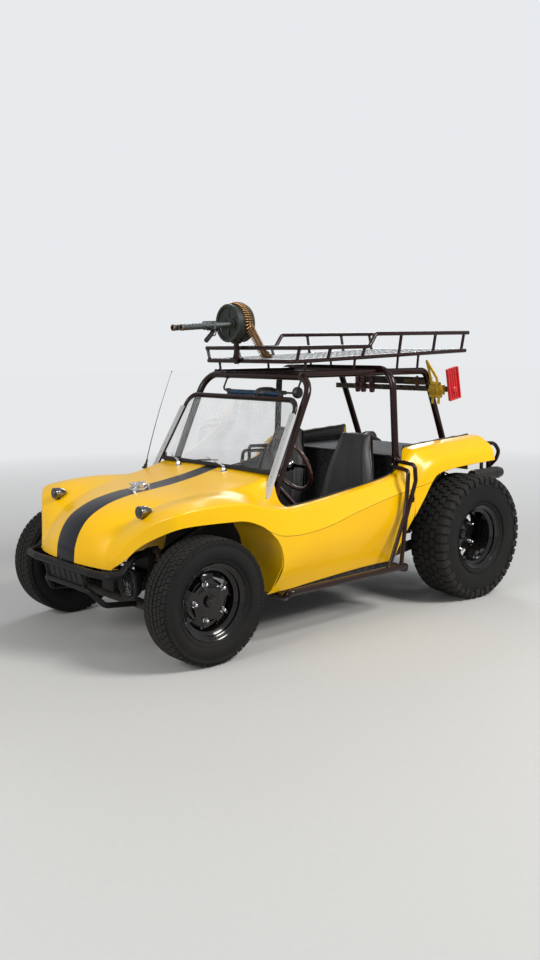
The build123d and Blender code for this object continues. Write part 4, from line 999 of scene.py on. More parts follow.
@dataclass
class Coachwork:
    """The moulded body: nose, front fenders, scuttle, sides, rear fenders and the inner walls."""

    wall: float = 6.0
    nose_steps: int = 110
    side_steps: int = 96
    flank_points: int = 19
    rear_steps: int = 60
    front_arch: tuple[Flat, Flat, Flat] = ((738, 675), (601, 490), (692, 276))
    rear_arch: tuple[Flat, Flat, Flat] = ((-640, 820), (-470, 572), (-340, 300))
    wall_line: tuple[Flat, ...] = ((664, 291), (610, 430), (604, 500), (624, 580), (676, 650), (676, 742))
    dark_half: float = 388.0
    return_y: float = 650.0
    coaming_y: float = 699.0
    foot_y: float = 704.0
    lip_y: float = 690.0
    flank_y: float = 752.0
    filler: tuple[float, float] = (1056.0, 45.0)
    tail_x: float = -1235.0
    corner: Point = (1488.0, 381.0, 500.0)

    def rib(self, along: float) -> list[Vector]:
        """Corners of one rib of the nose, from the centre line to the fender's lower edge.

        Args:
            along: Place from nought at the front edge to twelve at the windscreen.

        Returns:
            Centre, quarter points of the hood's arc, valley, crown, crease and lower edge.
        """
        knots = [float(i) for i in range(len(HOOD_ROWS))]
        x, z, half, drop = spline(HOOD_ROWS, knots, along)
        a = spline(HOOD_ROWS, knots, max(along - 0.5, 0.0))
        b = spline(HOOD_ROWS, knots, min(along + 0.5, knots[-1]))
        inward = Vector((a[1] - b[1], 0.0, b[0] - a[0])).normalized()
        low = Vector((x, half, z)) + inward * drop
        places = [-r[0] for r in FENDER_ROWS]
        flat = [[v for pair in r[1:] for v in pair] for r in FENDER_ROWS]
        place = min(low.x, -places[0])
        values = spline(flat, places, -place)
        swept = [Vector((place, values[i], values[i + 1])) for i in (0, 2, 4)]
        if along < 1.0:
            corner = Vector(self.corner)
            swept = [
                p.lerp(low.lerp(corner, share), 1.0 - along) for p, share in zip(swept, (0.45, 0.85, 1.0))]
        arc = []
        radius = (half * half + drop * drop) / (2 * max(drop, 1.0))
        for k in range(9):
            y = half * k / 9
            fall = radius - math.sqrt(max(radius * radius - y * y, 0.0))
            arc.append(Vector((x, y, z)) + inward * fall)
        return [*arc, low, *swept]

    def nose_rows(self) -> list[list[Vector]]:
        """Half ribs of the whole nose, ready for a sheet."""
        rows = []
        for i in range(self.nose_steps + 1):
            corners = self.rib((len(HOOD_ROWS) - 1) * i / self.nose_steps)
            edge = rounded(corners[8:], [26.0, 70.0, 13.0], 7, 5)
            rows.append(corners[:8] + edge)
        return rows

    def make_nose(self) -> None:
        """One moulding from the front edge to the windscreen, with the filler's hole."""
        shape = Shape()
        shape.grid([[Vector((p.x, -p.y, p.z)) for p in reversed(row[1:])] + row for row in self.nose_rows()])
        piece = shape.build(
            "nose_moulding", "car", [YELLOW, UNDERSIDE_AND_HOLE_SHADE],
            stands_for=("hood_panel", "front_fenders", "cowl_panel"), wall=self.wall, crease=42)
        x, radius = self.filler
        cut = Shape().lathe([(0.1, 700), (radius, 700), (radius, 1000), (0.1, 1000)], (x, 0, 0), UP, 64)
        carve(piece, cut)

    def arch_x(self, corners: tuple[Flat, Flat, Flat], z: float, back: bool) -> float:
        """Where a wheel opening's round edge lies at one height."""
        x, y, r = through(*corners)
        reach = math.sqrt(max(r * r - (z - y) ** 2, 0.0))
        return x + reach if back else x - reach

    def side_corners(self, x: float) -> list[Vector]:
        """Coaming return, coaming, waist, tuck and bottom edge at one place along the side."""
        knots = [-r[0] for r in SIDE_ROWS]
        top, waist, tuck, low, out = spline([r[1:] for r in SIDE_ROWS], knots, -x)
        section = (
            (self.return_y, top + 6), (self.coaming_y, top), (out, waist), (out + 2, tuck),
            (self.foot_y, low), (self.lip_y, low - 1))
        return [Vector((x, y, z)) for y, z in section]

    def flank(self, x: float, point: int) -> Vector:
        """One point of the eased section from the waist to the bottom edge."""
        return rounded(self.side_corners(x)[2:], [60.0, 10.0], 5, 4)[point]

    def make_sides(self) -> None:
        """Both sides: the coaming and upper band, and the flank between the wheel openings."""
        shape = Shape()
        upper = []
        for i in range(self.side_steps + 1):
            x = SCREEN_FOOT_X - (SCREEN_FOOT_X - FENDER_START_X) * i / self.side_steps
            corners = self.side_corners(x)
            upper.append(rounded(corners[:3], [15.0], 7, 5))
        shape.grid(upper)
        lower = []
        for i in range(self.side_steps + 1):
            row = []
            for j in range(self.flank_points):
                start, stop = 700.0, float(FENDER_START_X)
                for _ in range(4):
                    start = min(
                        self.arch_x(self.front_arch, self.flank(start, j).z, False), self.front_arch[0][0])
                    stop = max(self.arch_x(self.rear_arch, self.flank(stop, j).z, True), FENDER_START_X)
                row.append(self.flank(start + (stop - start) * (i / self.side_steps), j))
            lower.append(row)
        shape.grid(lower)
        shape.both_sides()
        shape.build(
            "side_moulding", "car", [YELLOW, UNDERSIDE_AND_HOLE_SHADE], stands_for=("side_panels",), wall=self.wall,
            crease=42)

    def make_rear_fenders(self) -> None:
        """Both rear fenders with their rolled crowns and folded tail ends."""
        shape = Shape()
        knots = [-r[0] for r in REAR_ROWS]
        flat = [[v for pair in r[1:] for v in pair] for r in REAR_ROWS]
        rows = []
        for i in range(self.rear_steps + 1):
            t = i / self.rear_steps
            x = FENDER_START_X + (self.tail_x - FENDER_START_X) * t
            v = spline(flat, knots, -x)
            corners = [Vector((x, v[k], v[k + 1])) for k in range(0, 10, 2)]
            corners.append(corners[-1] + Vector((0, -9, -2)))
            rows.append(rounded(corners, [9.0, 26.0, 42.0, 6.0], 7, 4))
        y, z = 690, 930
        rows.append([Vector((p.x - 5, y + (p.y - y) * 0.985, z + (p.z - z) * 0.97)) for p in rows[-1]])
        shape.grid(rows)
        shape.both_sides()
        shape.build(
            "rear_fender_moulding", "car", [YELLOW, UNDERSIDE_AND_HOLE_SHADE], stands_for=("rear_fenders",), wall=self.wall,
            crease=42)

    def make_inner_walls(self) -> None:
        """The curved wall behind the front wheels: paint at both sides, dark in the middle."""
        line = [Vector((x, 0, z)) for x, z in self.wall_line]
        curve = rounded(line, [60.0, 40.0, 45.0, 50.0], 6, 3)
        painted, dark = Shape(), Shape()
        outer_rows, dark_rows = [], []
        for p in curve:
            corners = self.side_corners(min(p.x, 700.0))
            if p.z < corners[3].z:
                t = (corners[3].z - p.z) / (corners[3].z - corners[4].z)
                reach = corners[3].y + (corners[4].y - corners[3].y) * min(t, 1.0) - self.wall
            else:
                t = (p.z - corners[3].z) / (corners[2].z - corners[3].z)
                above = p.z - corners[2].z
                reach = self.flank_y - self.wall - (7 + above * 0.16 if t >= 1 else 0)
            half = self.dark_half
            outer_rows.append([Vector((p.x, half + (reach - half) * k / 8, p.z)) for k in range(9)])
            dark_rows.append([Vector((p.x, half * (k / 4 - 1), p.z)) for k in range(9)])
        painted.grid(outer_rows).both_sides()
        painted.build(
            "arch_wall_yellow", "car", [YELLOW, UNDERSIDE_AND_HOLE_SHADE], stands_for=("front_bulkhead",), wall=5.0)
        dark.grid(dark_rows)
        dark.build("arch_wall_dark", "car", [UNDERSIDE_AND_HOLE_SHADE], wall=5.0)

    def make_trim(self) -> None:
        """Rolled deck edge, coaming beading, tail seam screws and flange bolts."""
        roll = Shape()
        for side in SIDES:
            roll.bar([(-560, 583 * side, 941), (-1228, 583 * side, 941)], 6.0)
        roll.bar([(-547, -560, 937), (-547, 560, 937)], 9.0)
        roll.build("deck_edge_roll", "car", [DECK])
        bead = Shape()
        path = [self.side_corners(495 - 972 * i / 59)[0] + Vector((0, -2, 1)) for i in range(60)]
        bead.hose(path, [5.5] * len(path), 10)
        bead.both_sides()
        bead.build("coaming_beading", "car", [RUBBER])
        screws = Shape()
        for k in range(9):
            profile = [(0.1, 2.6), (4.0, 2.0), (6.0, 0.4), (6.0, 0.0)]
            screws.lathe(profile, (self.tail_x - 0.5, -500 + 125 * k, 912), BACK, 14)
        for k in range(6):
            x = 640 - 190 * k
            corners = self.side_corners(x)
            for side in SIDES:
                profile = [(0.1, 2.6), (4.5, 2.0), (6.5, 0.4), (6.5, 0.0)]
                screws.lathe(
                    profile, (x, (corners[4].y - 2) * side, corners[4].z + 14), (0, side, -0.25), 14)
        screws.build("body_screws", "car", [CHROME])

    def build(self) -> None:
        """Makes every body moulding."""
        self.make_nose()
        self.make_sides()
        self.make_rear_fenders()
        self.make_inner_walls()
        self.make_trim()


def carve(piece: bpy.types.Object, cutter: Shape) -> None:
    """Cuts a shape out of a finished piece.

    Args:
        piece: The piece, already riding.
        cutter: The closed shape to take away.
    """
    mesh = bpy.data.meshes.new("cutter")
    mesh.from_pydata([p * MM for p in cutter.points], [], cutter.faces)
    work = bmesh.new()
    work.from_mesh(mesh)
    bmesh.ops.remove_doubles(work, verts=work.verts, dist=JOIN)
    bmesh.ops.recalc_face_normals(work, faces=work.faces)
    work.to_mesh(mesh)
    work.free()
    tool = bpy.data.objects.new("cutter", mesh)
    bpy.context.scene.collection.objects.link(tool)
    cut = piece.modifiers.new("cut", "BOOLEAN")
    cut.operation = "DIFFERENCE"
    cut.object = tool
    cut.solver = "EXACT"
    bake(piece)
    bpy.data.objects.remove(tool)


# Tread rows of the front tyre: middle y, half width, pitch shift
FRONT_TREAD = [(-76, 9, 0.0), (-50, 13, 0.5), (-18, 13, 0.2), (18, 13, 0.7), (50, 13, 0.1), (76, 9, 0.6)]
# Tread rows of the rear tyre: middle y, half width, pitch shift
REAR_TREAD = [(-94, 19, 0.0), (-48, 17.5, 0.5), (0, 17.5, 0.15), (48, 17.5, 0.65), (94, 19, 0.25)]


@dataclass
class Tyre:
    """One tyre: a turned carcass, sidewall rings, tread blocks and shoulder lugs."""

    node: str
    body: str
    middle: Point
    side: Side
    diameter: float
    width: float
    rim_width: float
    rugged: bool
    flange: float = 207.0
    pitches: int = 60
    lugs: int = 44
    groove: float = 8.5

    def carcass(self) -> list[Flat]:
        """Profile from bead to bead, as radius and place across."""
        r = self.diameter / 2 - self.groove
        side = self.width / 2 - (4 if self.rugged else 1.5)
        half = self.rim_width / 2
        tread = side - 22
        out: list[Flat] = [
            (self.flange - 12, half - 16), (self.flange + 1, half - 6), (self.flange + 7, half + 2),
            (self.flange + 13, half + 7), (self.flange + 20, half + 8),
        ]
        start, stop = self.flange + 20, r - 20
        for i in range(1, 13):
            t = i / 13
            bulge = math.sin(math.pi * min(t * 1.12, 1.0) ** 0.9)
            y = half + 8 + (side - 8 - half - 8) * t + 8 * bulge + (side - half) * 0.16 * bulge
            out.append((start + (stop - start) * t, y))
        left = [(a, min(b, side)) for a, b in out]
        left += [(r - 18, side - 5), (r - 8, side - 11), (r - 2.5, side - 19), (r - 1, tread)]
        crown = [(r - 0.6 * abs(k) / 4, -tread * k / 5) for k in range(-4, 5)]
        return left + crown + [(a, -b) for a, b in reversed(left)]

    def top(self, y: float) -> float:
        """Radius of the worn tread surface at a place across."""
        side = self.width / 2
        edge = max(abs(y) - (side - 30), 0.0)
        return self.diameter / 2 - (y / side) ** 2 * 3 - edge * edge * 0.012

    def block(self, shape: Shape, outline: Sequence[Flat], low: float, ease: float) -> None:
        """Adds one tread block.

        Args:
            shape: The shape that gets it.
            outline: Corners as (angle in radians, place across), anticlockwise seen from outside.
            low: How far below the tread surface its foot is.
            ease: Width of the eased top edge in millimetres.
        """
        mid_a = sum(a for a, _ in outline) / len(outline)
        mid_y = sum(y for _, y in outline) / len(outline)
        rows = []
        for shrink, drop in ((0.0, low), (0.0, ease * 0.8), (ease, 0.0)):
            row = []
            for a, y in outline:
                r = self.top(y) - drop
                da, dy = (mid_a - a) * r, mid_y - y
                size = math.hypot(da, dy) or 1.0
                a2, y2 = a + da / size * shrink / r, y + dy / size * shrink
                row.append(Vector((r * math.cos(a2), y2, r * math.sin(a2))))
            rows.append(row)
        shape.grid(rows, closed=True, flip=True)
        count = len(outline)
        base = len(shape.points) - count
        shape.faces.append(tuple(base + count - 1 - i for i in range(count)))
        shape.tones.append(shape.tone)

    def road_tread(self, shape: Shape) -> None:
        """Six rows of sipe-cut blocks."""
        step = 2 * math.pi / self.pitches
        for middle, half, shift in FRONT_TREAD:
            lean = 0.012 * (1 if middle > 0 else -1)
            for i in range(self.pitches):
                a = step * (i + shift)
                gap = 0.0075 if half > 10 else 0.011
                sipe = 0.0016
                for k in range(2):
                    p = a + step * k / 2 + (gap if k == 0 else sipe)
                    q = a + step * (k + 1) / 2 - (sipe if k == 0 else gap)
                    outline = [
                        (p + lean, middle + half), (p, middle), (p - lean, middle - half),
                        (q - lean, middle - half), (q, middle), (q + lean, middle + half)]
                    self.block(shape, outline, self.groove + 1, 0.9)

    def shoulder(self, shape: Shape, side: int, a: float, b: float, reach: float) -> None:
        """Adds one lug that wraps from the tread's edge down the sidewall."""
        r = self.diameter / 2
        edge = self.width / 2
        line = [
            (r - 2.5, edge - 26), (r - 5, edge - 15), (r - 14, edge - 6), (r - 26, edge - 2),
            (r - 26 - reach, edge - 2.5)]
        inner = [
            (r - 13, edge - 26), (r - 15, edge - 20), (r - 20, edge - 14), (r - 30, edge - 11),
            (r - 28 - reach, edge - 9)]
        rows = []
        for (ro, yo), (ri, yi) in zip(line, inner):
            row = []
            corners = ((ri, yi, a - 0.003), (ro, yo, a + 0.004), (ro, yo, b - 0.004), (ri, yi, b + 0.003))
            for distance, y, angle in corners:
                row.append(Vector((distance * math.cos(angle), y * side, distance * math.sin(angle))))
            rows.append(row)
        shape.grid(rows, flip=side < 0)
        base = len(shape.points) - 4
        shape.faces += [(base, base + 1, base + 2, base + 3), (base - 16, base - 15, base - 14, base - 13)]
        shape.tones += [shape.tone] * 2

    def rugged_tread(self, shape: Shape) -> None:
        """Five rows of zigzag blocks, with long and short shoulder lugs."""
        step = 2 * math.pi / self.lugs
        for middle, half, shift in REAR_TREAD:
            for i in range(self.lugs):
                a = step * (i + shift)
                g, z = 0.016, 0.018 * (1 if i % 2 else -1)
                wide = half + (3 if i % 2 else -1)
                b = a + step - g
                outline = [
                    (a + g, middle + wide - 3), (a + g + z * 0.4, middle + half * 0.3),
                    (a + g - z * 0.3, middle - half * 0.4), (a + g + 0.006, middle - wide + 1),
                    (a + step / 2, middle - wide - 2), (b, middle - wide + 3),
                    (b + z * 0.4, middle - half * 0.2), (b - z * 0.3, middle + half * 0.4),
                    (b - 0.006, middle + wide - 1), (a + step / 2, middle + wide + 2)]
                self.block(shape, outline, 13.0, 2.2)
        for side in SIDES:
            for i in range(self.lugs):
                a = step * (i + (0.25 if side > 0 else 0.0))
                self.shoulder(shape, side, a + 0.021, a + step - 0.021, 36.0 if i % 2 else 16.0)

    def sidewall(self, shape: Shape) -> None:
        """Raised rings and ribs on both sidewalls."""
        half = self.rim_width / 2
        for side in SIDES:
            for r, y in ((self.flange + 26, half + 12.5), (self.flange + 32, half + 14.5)):
                ring = [(r - 1.6, y * side), (r, (y + 2.2) * side), (r + 1.6, y * side)]
                shape.lathe(ring, ORIGIN, ACROSS, 96)
        r = self.diameter / 2
        edge = self.width / 2
        if not self.rugged:
            for side in SIDES:
                for i in range(96):
                    a = 2 * math.pi * i / 96
                    self.rib(shape, side, a, r - 13, r - 25, edge - 5.5)

    def rib(self, shape: Shape, side: int, angle: float, high: float, low: float, edge: float) -> None:
        """Adds one fine rib below the tread's shoulder."""
        turn = Matrix.Rotation(-angle, 4, "Y")
        small = Shape()
        rows = []
        for r, out in ((low, -2.0), (low + 2, 0.6), (high - 2, -1.5), (high, -6.0)):
            corners = (
                (edge + out - 2.5, -4.5), (edge + out, -2.5), (edge + out, 2.5), (edge + out - 2.5, 4.5))
            rows.append([Vector((r, y * side, z)) for y, z in corners])
        small.grid(rows, flip=side > 0)
        shape.merge(small, turn)

    def build(self) -> None:
        """Makes the tyre."""
        shape = Shape()
        shape.lathe(self.carcass(), ORIGIN, ACROSS, 120, closed=True)
        self.sidewall(shape)
        shape.tone = 1
        if self.rugged:
            self.rugged_tread(shape)
        else:
            self.road_tread(shape)
        whole = shape.on(self.side).moved(Matrix.Translation(self.middle))
        whole.build(f"{self.node}_treaded", self.body, [TYRE, TREAD], crease=34, stands_for=(self.node,))


@dataclass
class RoadWheel:
    """One steel wheel: barrel, dished centre with five windows, star hub, cap and chrome nuts."""

    node: str
    body: str
    middle: Point
    side: Side
    rim_width: float
    face: float
    drum: float
    flange: float = 207.0
    barrel: float = 190.0
    nut_circle: float = 102.5
    windows: int = 5

    def make_barrel(self, shape: Shape) -> None:
        """Adds the rolled rim with its flanges, bead seats and drop centre."""
        half = self.rim_width / 2
        outer = [
            (self.flange, half), (self.flange + 1.5, half - 2.5), (self.flange, half - 5),
            (self.flange - 8, half - 7), (self.barrel, half - 14), (self.barrel - 1, half - 32),
            (self.barrel - 8, half - 37), (self.barrel - 22, half - 44)]
        back = [(r, -y) for r, y in reversed(outer)]
        skin = outer + back
        inner = [(r - 5.0, y - (3.5 if y > 0 else -3.5) if abs(y) > half - 20 else y) for r, y in skin]
        shape.lathe(skin + list(reversed(inner)), ORIGIN, ACROSS, 96, closed=True)

    def disc(self) -> Shape:
        """The dished centre before its windows are cut."""
        f = self.face
        front = [
            (0.1, f + 2), (30, f + 2), (44, f + 3), (74, f + 4), (88, f - 1), (100, f - 2), (128, f - 1),
            (148, f - 8), (160, f - 22), (self.barrel - 24, f - 30)]
        back = [(r, y - 8) for r, y in reversed(front)]
        return Shape().lathe(front + back, ORIGIN, ACROSS, 120)

    def window(self, turn: float) -> Shape:
        """One rounded four-sided window as a cutter."""
        outline = []
        for x, y in soft_box(50, 104, 20, 6):
            r, a = x + 131, y / 128
            outline.append((r * math.cos(a), r * math.sin(a)))
        cutter = Shape().plate(outline, (0, self.face - 60, 0), UP, AHEAD, 120.0, 0.5)
        return cutter.moved(Matrix.Rotation(turn, 4, "Y"))

    def build(self) -> None:
        """Makes the wheel and its nuts."""
        place = Matrix.Translation(self.middle) @ Matrix.Diagonal((1, self.side.value, 1, 1))
        piece = self.disc().moved(place).build(f"{self.node}_centre", self.body, [WHEEL], crease=50)
        cutters = Shape()
        for i in range(self.windows):
            cutters.merge(self.window(2 * math.pi * (i + 0.5) / self.windows), place)
        carve(piece, cutters)
        piece.data.shade_smooth()
        piece.data.set_sharp_from_angle(angle=math.radians(32))
        shape = Shape()
        self.make_barrel(shape)
        f = self.face
        profile = [(34, f + 2), (34, f + 12), (31, f + 17), (24, f + 20), (12, f + 22), (0.1, f + 22.5)]
        shape.lathe(profile, ORIGIN, ACROSS, 40)
        for i in range(self.windows):
            a = 2 * math.pi * i / self.windows
            spoke = [(-13, -40), (13, -40), (9, 44), (0, 47), (-9, 44)]
            rib = Shape().plate(spoke, ORIGIN, UP, AHEAD, 7.0, 2.5)
            shape.merge(rib, Matrix.Rotation(a, 4, "Y") @ Matrix.Translation((100, f - 3, 0)))
        back = self.drum
        shape.lathe([(116, back), (118, back + 4), (118, f - 14), (112, f - 11)], ORIGIN, ACROSS, 64)
        for k in range(10):
            foot = back + 6 + 4 * k
            shape.lathe([(118, foot), (121, foot + 1), (121, foot + 2), (118, foot + 3)], ORIGIN, ACROSS, 64)
        whole = shape.moved(place)
        whole.build(f"{self.node}_rim", self.body, [WHEEL], stands_for=(self.node,), crease=32)
        nuts = Shape()
        for i in range(self.windows):
            a = 2 * math.pi * i / self.windows
            x, z = self.nut_circle * math.cos(a), self.nut_circle * math.sin(a)
            nuts.lathe([(17, f - 1), (16, f + 3), (0.1, f + 3.4)], (x, 0, z), ACROSS, 24)
            nuts.plate(circle(13.5, 6), (x, f + 2, z), UP, AHEAD, 16.0, 1.5)
            profile = [(11.4, f + 17), (11.2, f + 23), (8.5, f + 28), (4.5, f + 30.6), (0.1, f + 31.4)]
            nuts.lathe(profile, (x, 0, z), ACROSS, 22)
        nuts.moved(place).build(f"{self.node}_nuts", self.body, [CHROME], crease=32)


@dataclass
class WheelSet:
    """The four tyres and wheels."""

    front_x: float = 1125.0
    rear_x: float = -975.0
    front_y: float = 720.0
    rear_y: float = 775.0
    front_r: float = 340.0
    rear_r: float = 403.0

    def build(self) -> None:
        """Makes all four corners."""
        for side in Side:
            front = (self.front_x, self.front_y * side.value, self.front_r)
            rear = (self.rear_x, self.rear_y * side.value, self.rear_r)
            end = "l" if side is Side.LEFT else "r"
            Tyre(f"front_tyre_{side.word}", f"front_wheel_{end}", front, side, 680, 202, 150, False).build()
            Tyre(f"rear_tyre_{side.word}", f"rear_wheel_{end}", rear, side, 806, 282, 226, True).build()
            RoadWheel(f"front_wheel_{side.word}", f"front_wheel_{end}", front, side, 150, 30, -70).build()
            RoadWheel(f"rear_wheel_{side.word}", f"rear_wheel_{end}", rear, side, 226, -30, -105).build()


# The windscreen's plane: where it starts, how far it leans back, its normal, height and half widths
SCREEN_X, SCREEN_Z, SCREEN_LEAN = 590, 790, 0.5575
SCREEN_NORMAL = Vector((0.8734, 0.0, 0.4870))
SCREEN_HEIGHT, LOW_HALF, HIGH_HALF = 555, 585, 531


def screen_point(across: float, z: float, ahead: float = 0.0) -> Vector:
    """A point of the windscreen's leaning plane.

    Args:
        across: Share of the half width, from -1 to 1, at that height.
        z: Height in millimetres.
        ahead: Distance in front of the plane.

    Returns:
        The point.
    """
    x = SCREEN_X - SCREEN_LEAN * (z - SCREEN_Z)
    half = LOW_HALF + (z - SCREEN_Z) / SCREEN_HEIGHT * (HIGH_HALF - LOW_HALF)
    return Vector((x, half * across, z)) + SCREEN_NORMAL * ahead


@dataclass
class Screen:
    """The windscreen: painted hoop, side strips with holes of painted shade, brackets, rubber seal and
    wipers.
    """

    foot_z: float = 806.0
    top_z: float = 1345.0
    bend: float = 80.0
    glass_half: float = 590.0

    def make_hoop(self) -> None:
        """The painted tube round the glass."""
        corners = ((1, self.foot_z), (1, self.top_z), (-1, self.top_z), (-1, self.foot_z))
        hoop = Shape().bar([screen_point(s, z) for s, z in corners], 12.0, self.bend, 18)
        hoop.build("screen_hoop", "car", [FRAME], stands_for=("windscreen_frame",))

    def make_strips(self) -> None:
        """Bright side strips with a folded edge, a row of holes drawn as dark dished discs of painted shade,
        and their bolts.
        """
        strips = Shape()
        holes = Shape()
        for side in SIDES:
            low, high = screen_point(side, 782, 11), screen_point(side, 1262, 11)
            up = high - low
            middle = low.lerp(high, 0.5)
            across = up.cross(SCREEN_NORMAL).normalized()
            strips.plate(soft_box(40, up.length, 5, 3), middle, across, up, 5.0, 1.0)
            fold = middle + Vector((0, 20 * side, 0)) - SCREEN_NORMAL * 16
            strips.plate(soft_box(5.0, up.length - 8, 2, 2), fold, across, up, 22.0, 0.9)
            # The holes are dark discs on the strip's face: painted shade where real holes would be
            for k in range(9):
                at = low.lerp(high, (k + 0.6) / 9.4) + SCREEN_NORMAL * 4.6
                holes.lathe([(0.1, -0.2), (3.6, 0.1), (4.4, 0.9), (5.4, 0.2)], at, SCREEN_NORMAL, 16)
            for share in (0.04, 0.33, 0.62, 0.965):
                strips.bolt(low.lerp(high, share) + SCREEN_NORMAL * 4.6 + across * 4, SCREEN_NORMAL, 9.0)
        strips.build("screen_strips", "car", [BRIGHT], crease=30)
        holes.build("screen_strip_painted_holes", "car", [UNDERSIDE_AND_HOLE_SHADE])
        brackets = Shape()
        for side in SIDES:
            at = screen_point(side, 952, 6)
            brackets.slab((at.x - 38, at.y - 16, at.z - 22), (at.x + 2, at.y + 16, at.z + 16), 5)
            brackets.bolt((at.x - 12, at.y + 16 * side, at.z - 3), (0, side, 0), 12)
            foot = screen_point(side, 786, 0)
            brackets.slab((foot.x - 16, foot.y - 20, foot.z + 6), (foot.x + 30, foot.y + 20, foot.z + 26), 5)
            brackets.bolt((foot.x + 16, foot.y, foot.z + 26), (0.2, 0, 1), 11)
        brackets.build("screen_brackets", "car", [FRAME], crease=30)

    def make_seal(self) -> None:
        """The black seal between the glass and its tube."""
        corners = [(0.972, 946), (0.972, self.top_z - 15), (-0.972, self.top_z - 15), (-0.972, 946)]
        path = bent([screen_point(a, z) for a, z in corners], self.bend - 14)
        seal = Shape().hose(path, [5.0] * len(path), 10)
        low = [screen_point(-0.95 + 1.9 * k / 12, 938, 6) for k in range(13)]
        seal.hose(low, [9.0] * 13, 10)
        seal.build("screen_seal", "car", [RUBBER])

    def make_wipers(self) -> None:
        """Two chrome wipers parked on the glass, on domed pivots."""
        arms, blades = Shape(), Shape()
        for place, tip_y, tip_z in (((566, -290, 926), -468, 960), ((560, 168, 928), -82, 972)):
            pivot = Vector(place)
            share = tip_y / self.glass_half
            rest = screen_point(share, tip_z, 10)
            arms.lathe([(19, -14), (17, -2), (13, 8), (9, 16), (8, 24), (0.1, 26)], pivot, (0.2, 0, 1), 24)
            knee = pivot.lerp(rest, 0.12) + Vector((4, 0, 20))
            path = [pivot + Vector((0, 0, 16)), knee, pivot.lerp(rest, 0.55) + Vector((6, 0, 12)), rest]
            arms.hose(path, [5.5, 5.0, 3.6, 2.6], 10)
            run = screen_point(share - 0.2, tip_z - 16, 8) - screen_point(share + 0.2, tip_z + 2, 8)
            start = screen_point(share + 0.2, tip_z - 6, 7)
            blades.hose([start + run * t for t in (0.0, 0.25, 0.5, 0.75, 1.0)], [2.4, 3.8, 4.6, 3.8, 2.4], 8)
        arms.build("wiper_arms", "car", [CHROME])
        blades.build("wiper_blades", "car", [RUBBER])

    def build(self) -> None:
        """Makes the windscreen's pieces."""
        self.make_hoop()
        self.make_strips()
        self.make_seal()
        self.make_wipers()


# Rack posts, then struts below the rack, by place along the car
POST_X = (195, -60, -360, -700, -1040, -1340)
STRUT_X = (120, -300, -700, -900)
# The rack's lower frame: its front end, length, height there and rise to the tail
RACK_X, RACK_LENGTH, RACK_FRONT_Z, RACK_RISE = 218, 1602, 1562, 38


def rack_z(x: float) -> float:
    """Height of the rack's lower frame."""
    return RACK_FRONT_Z + (RACK_X - x) / RACK_LENGTH * RACK_RISE


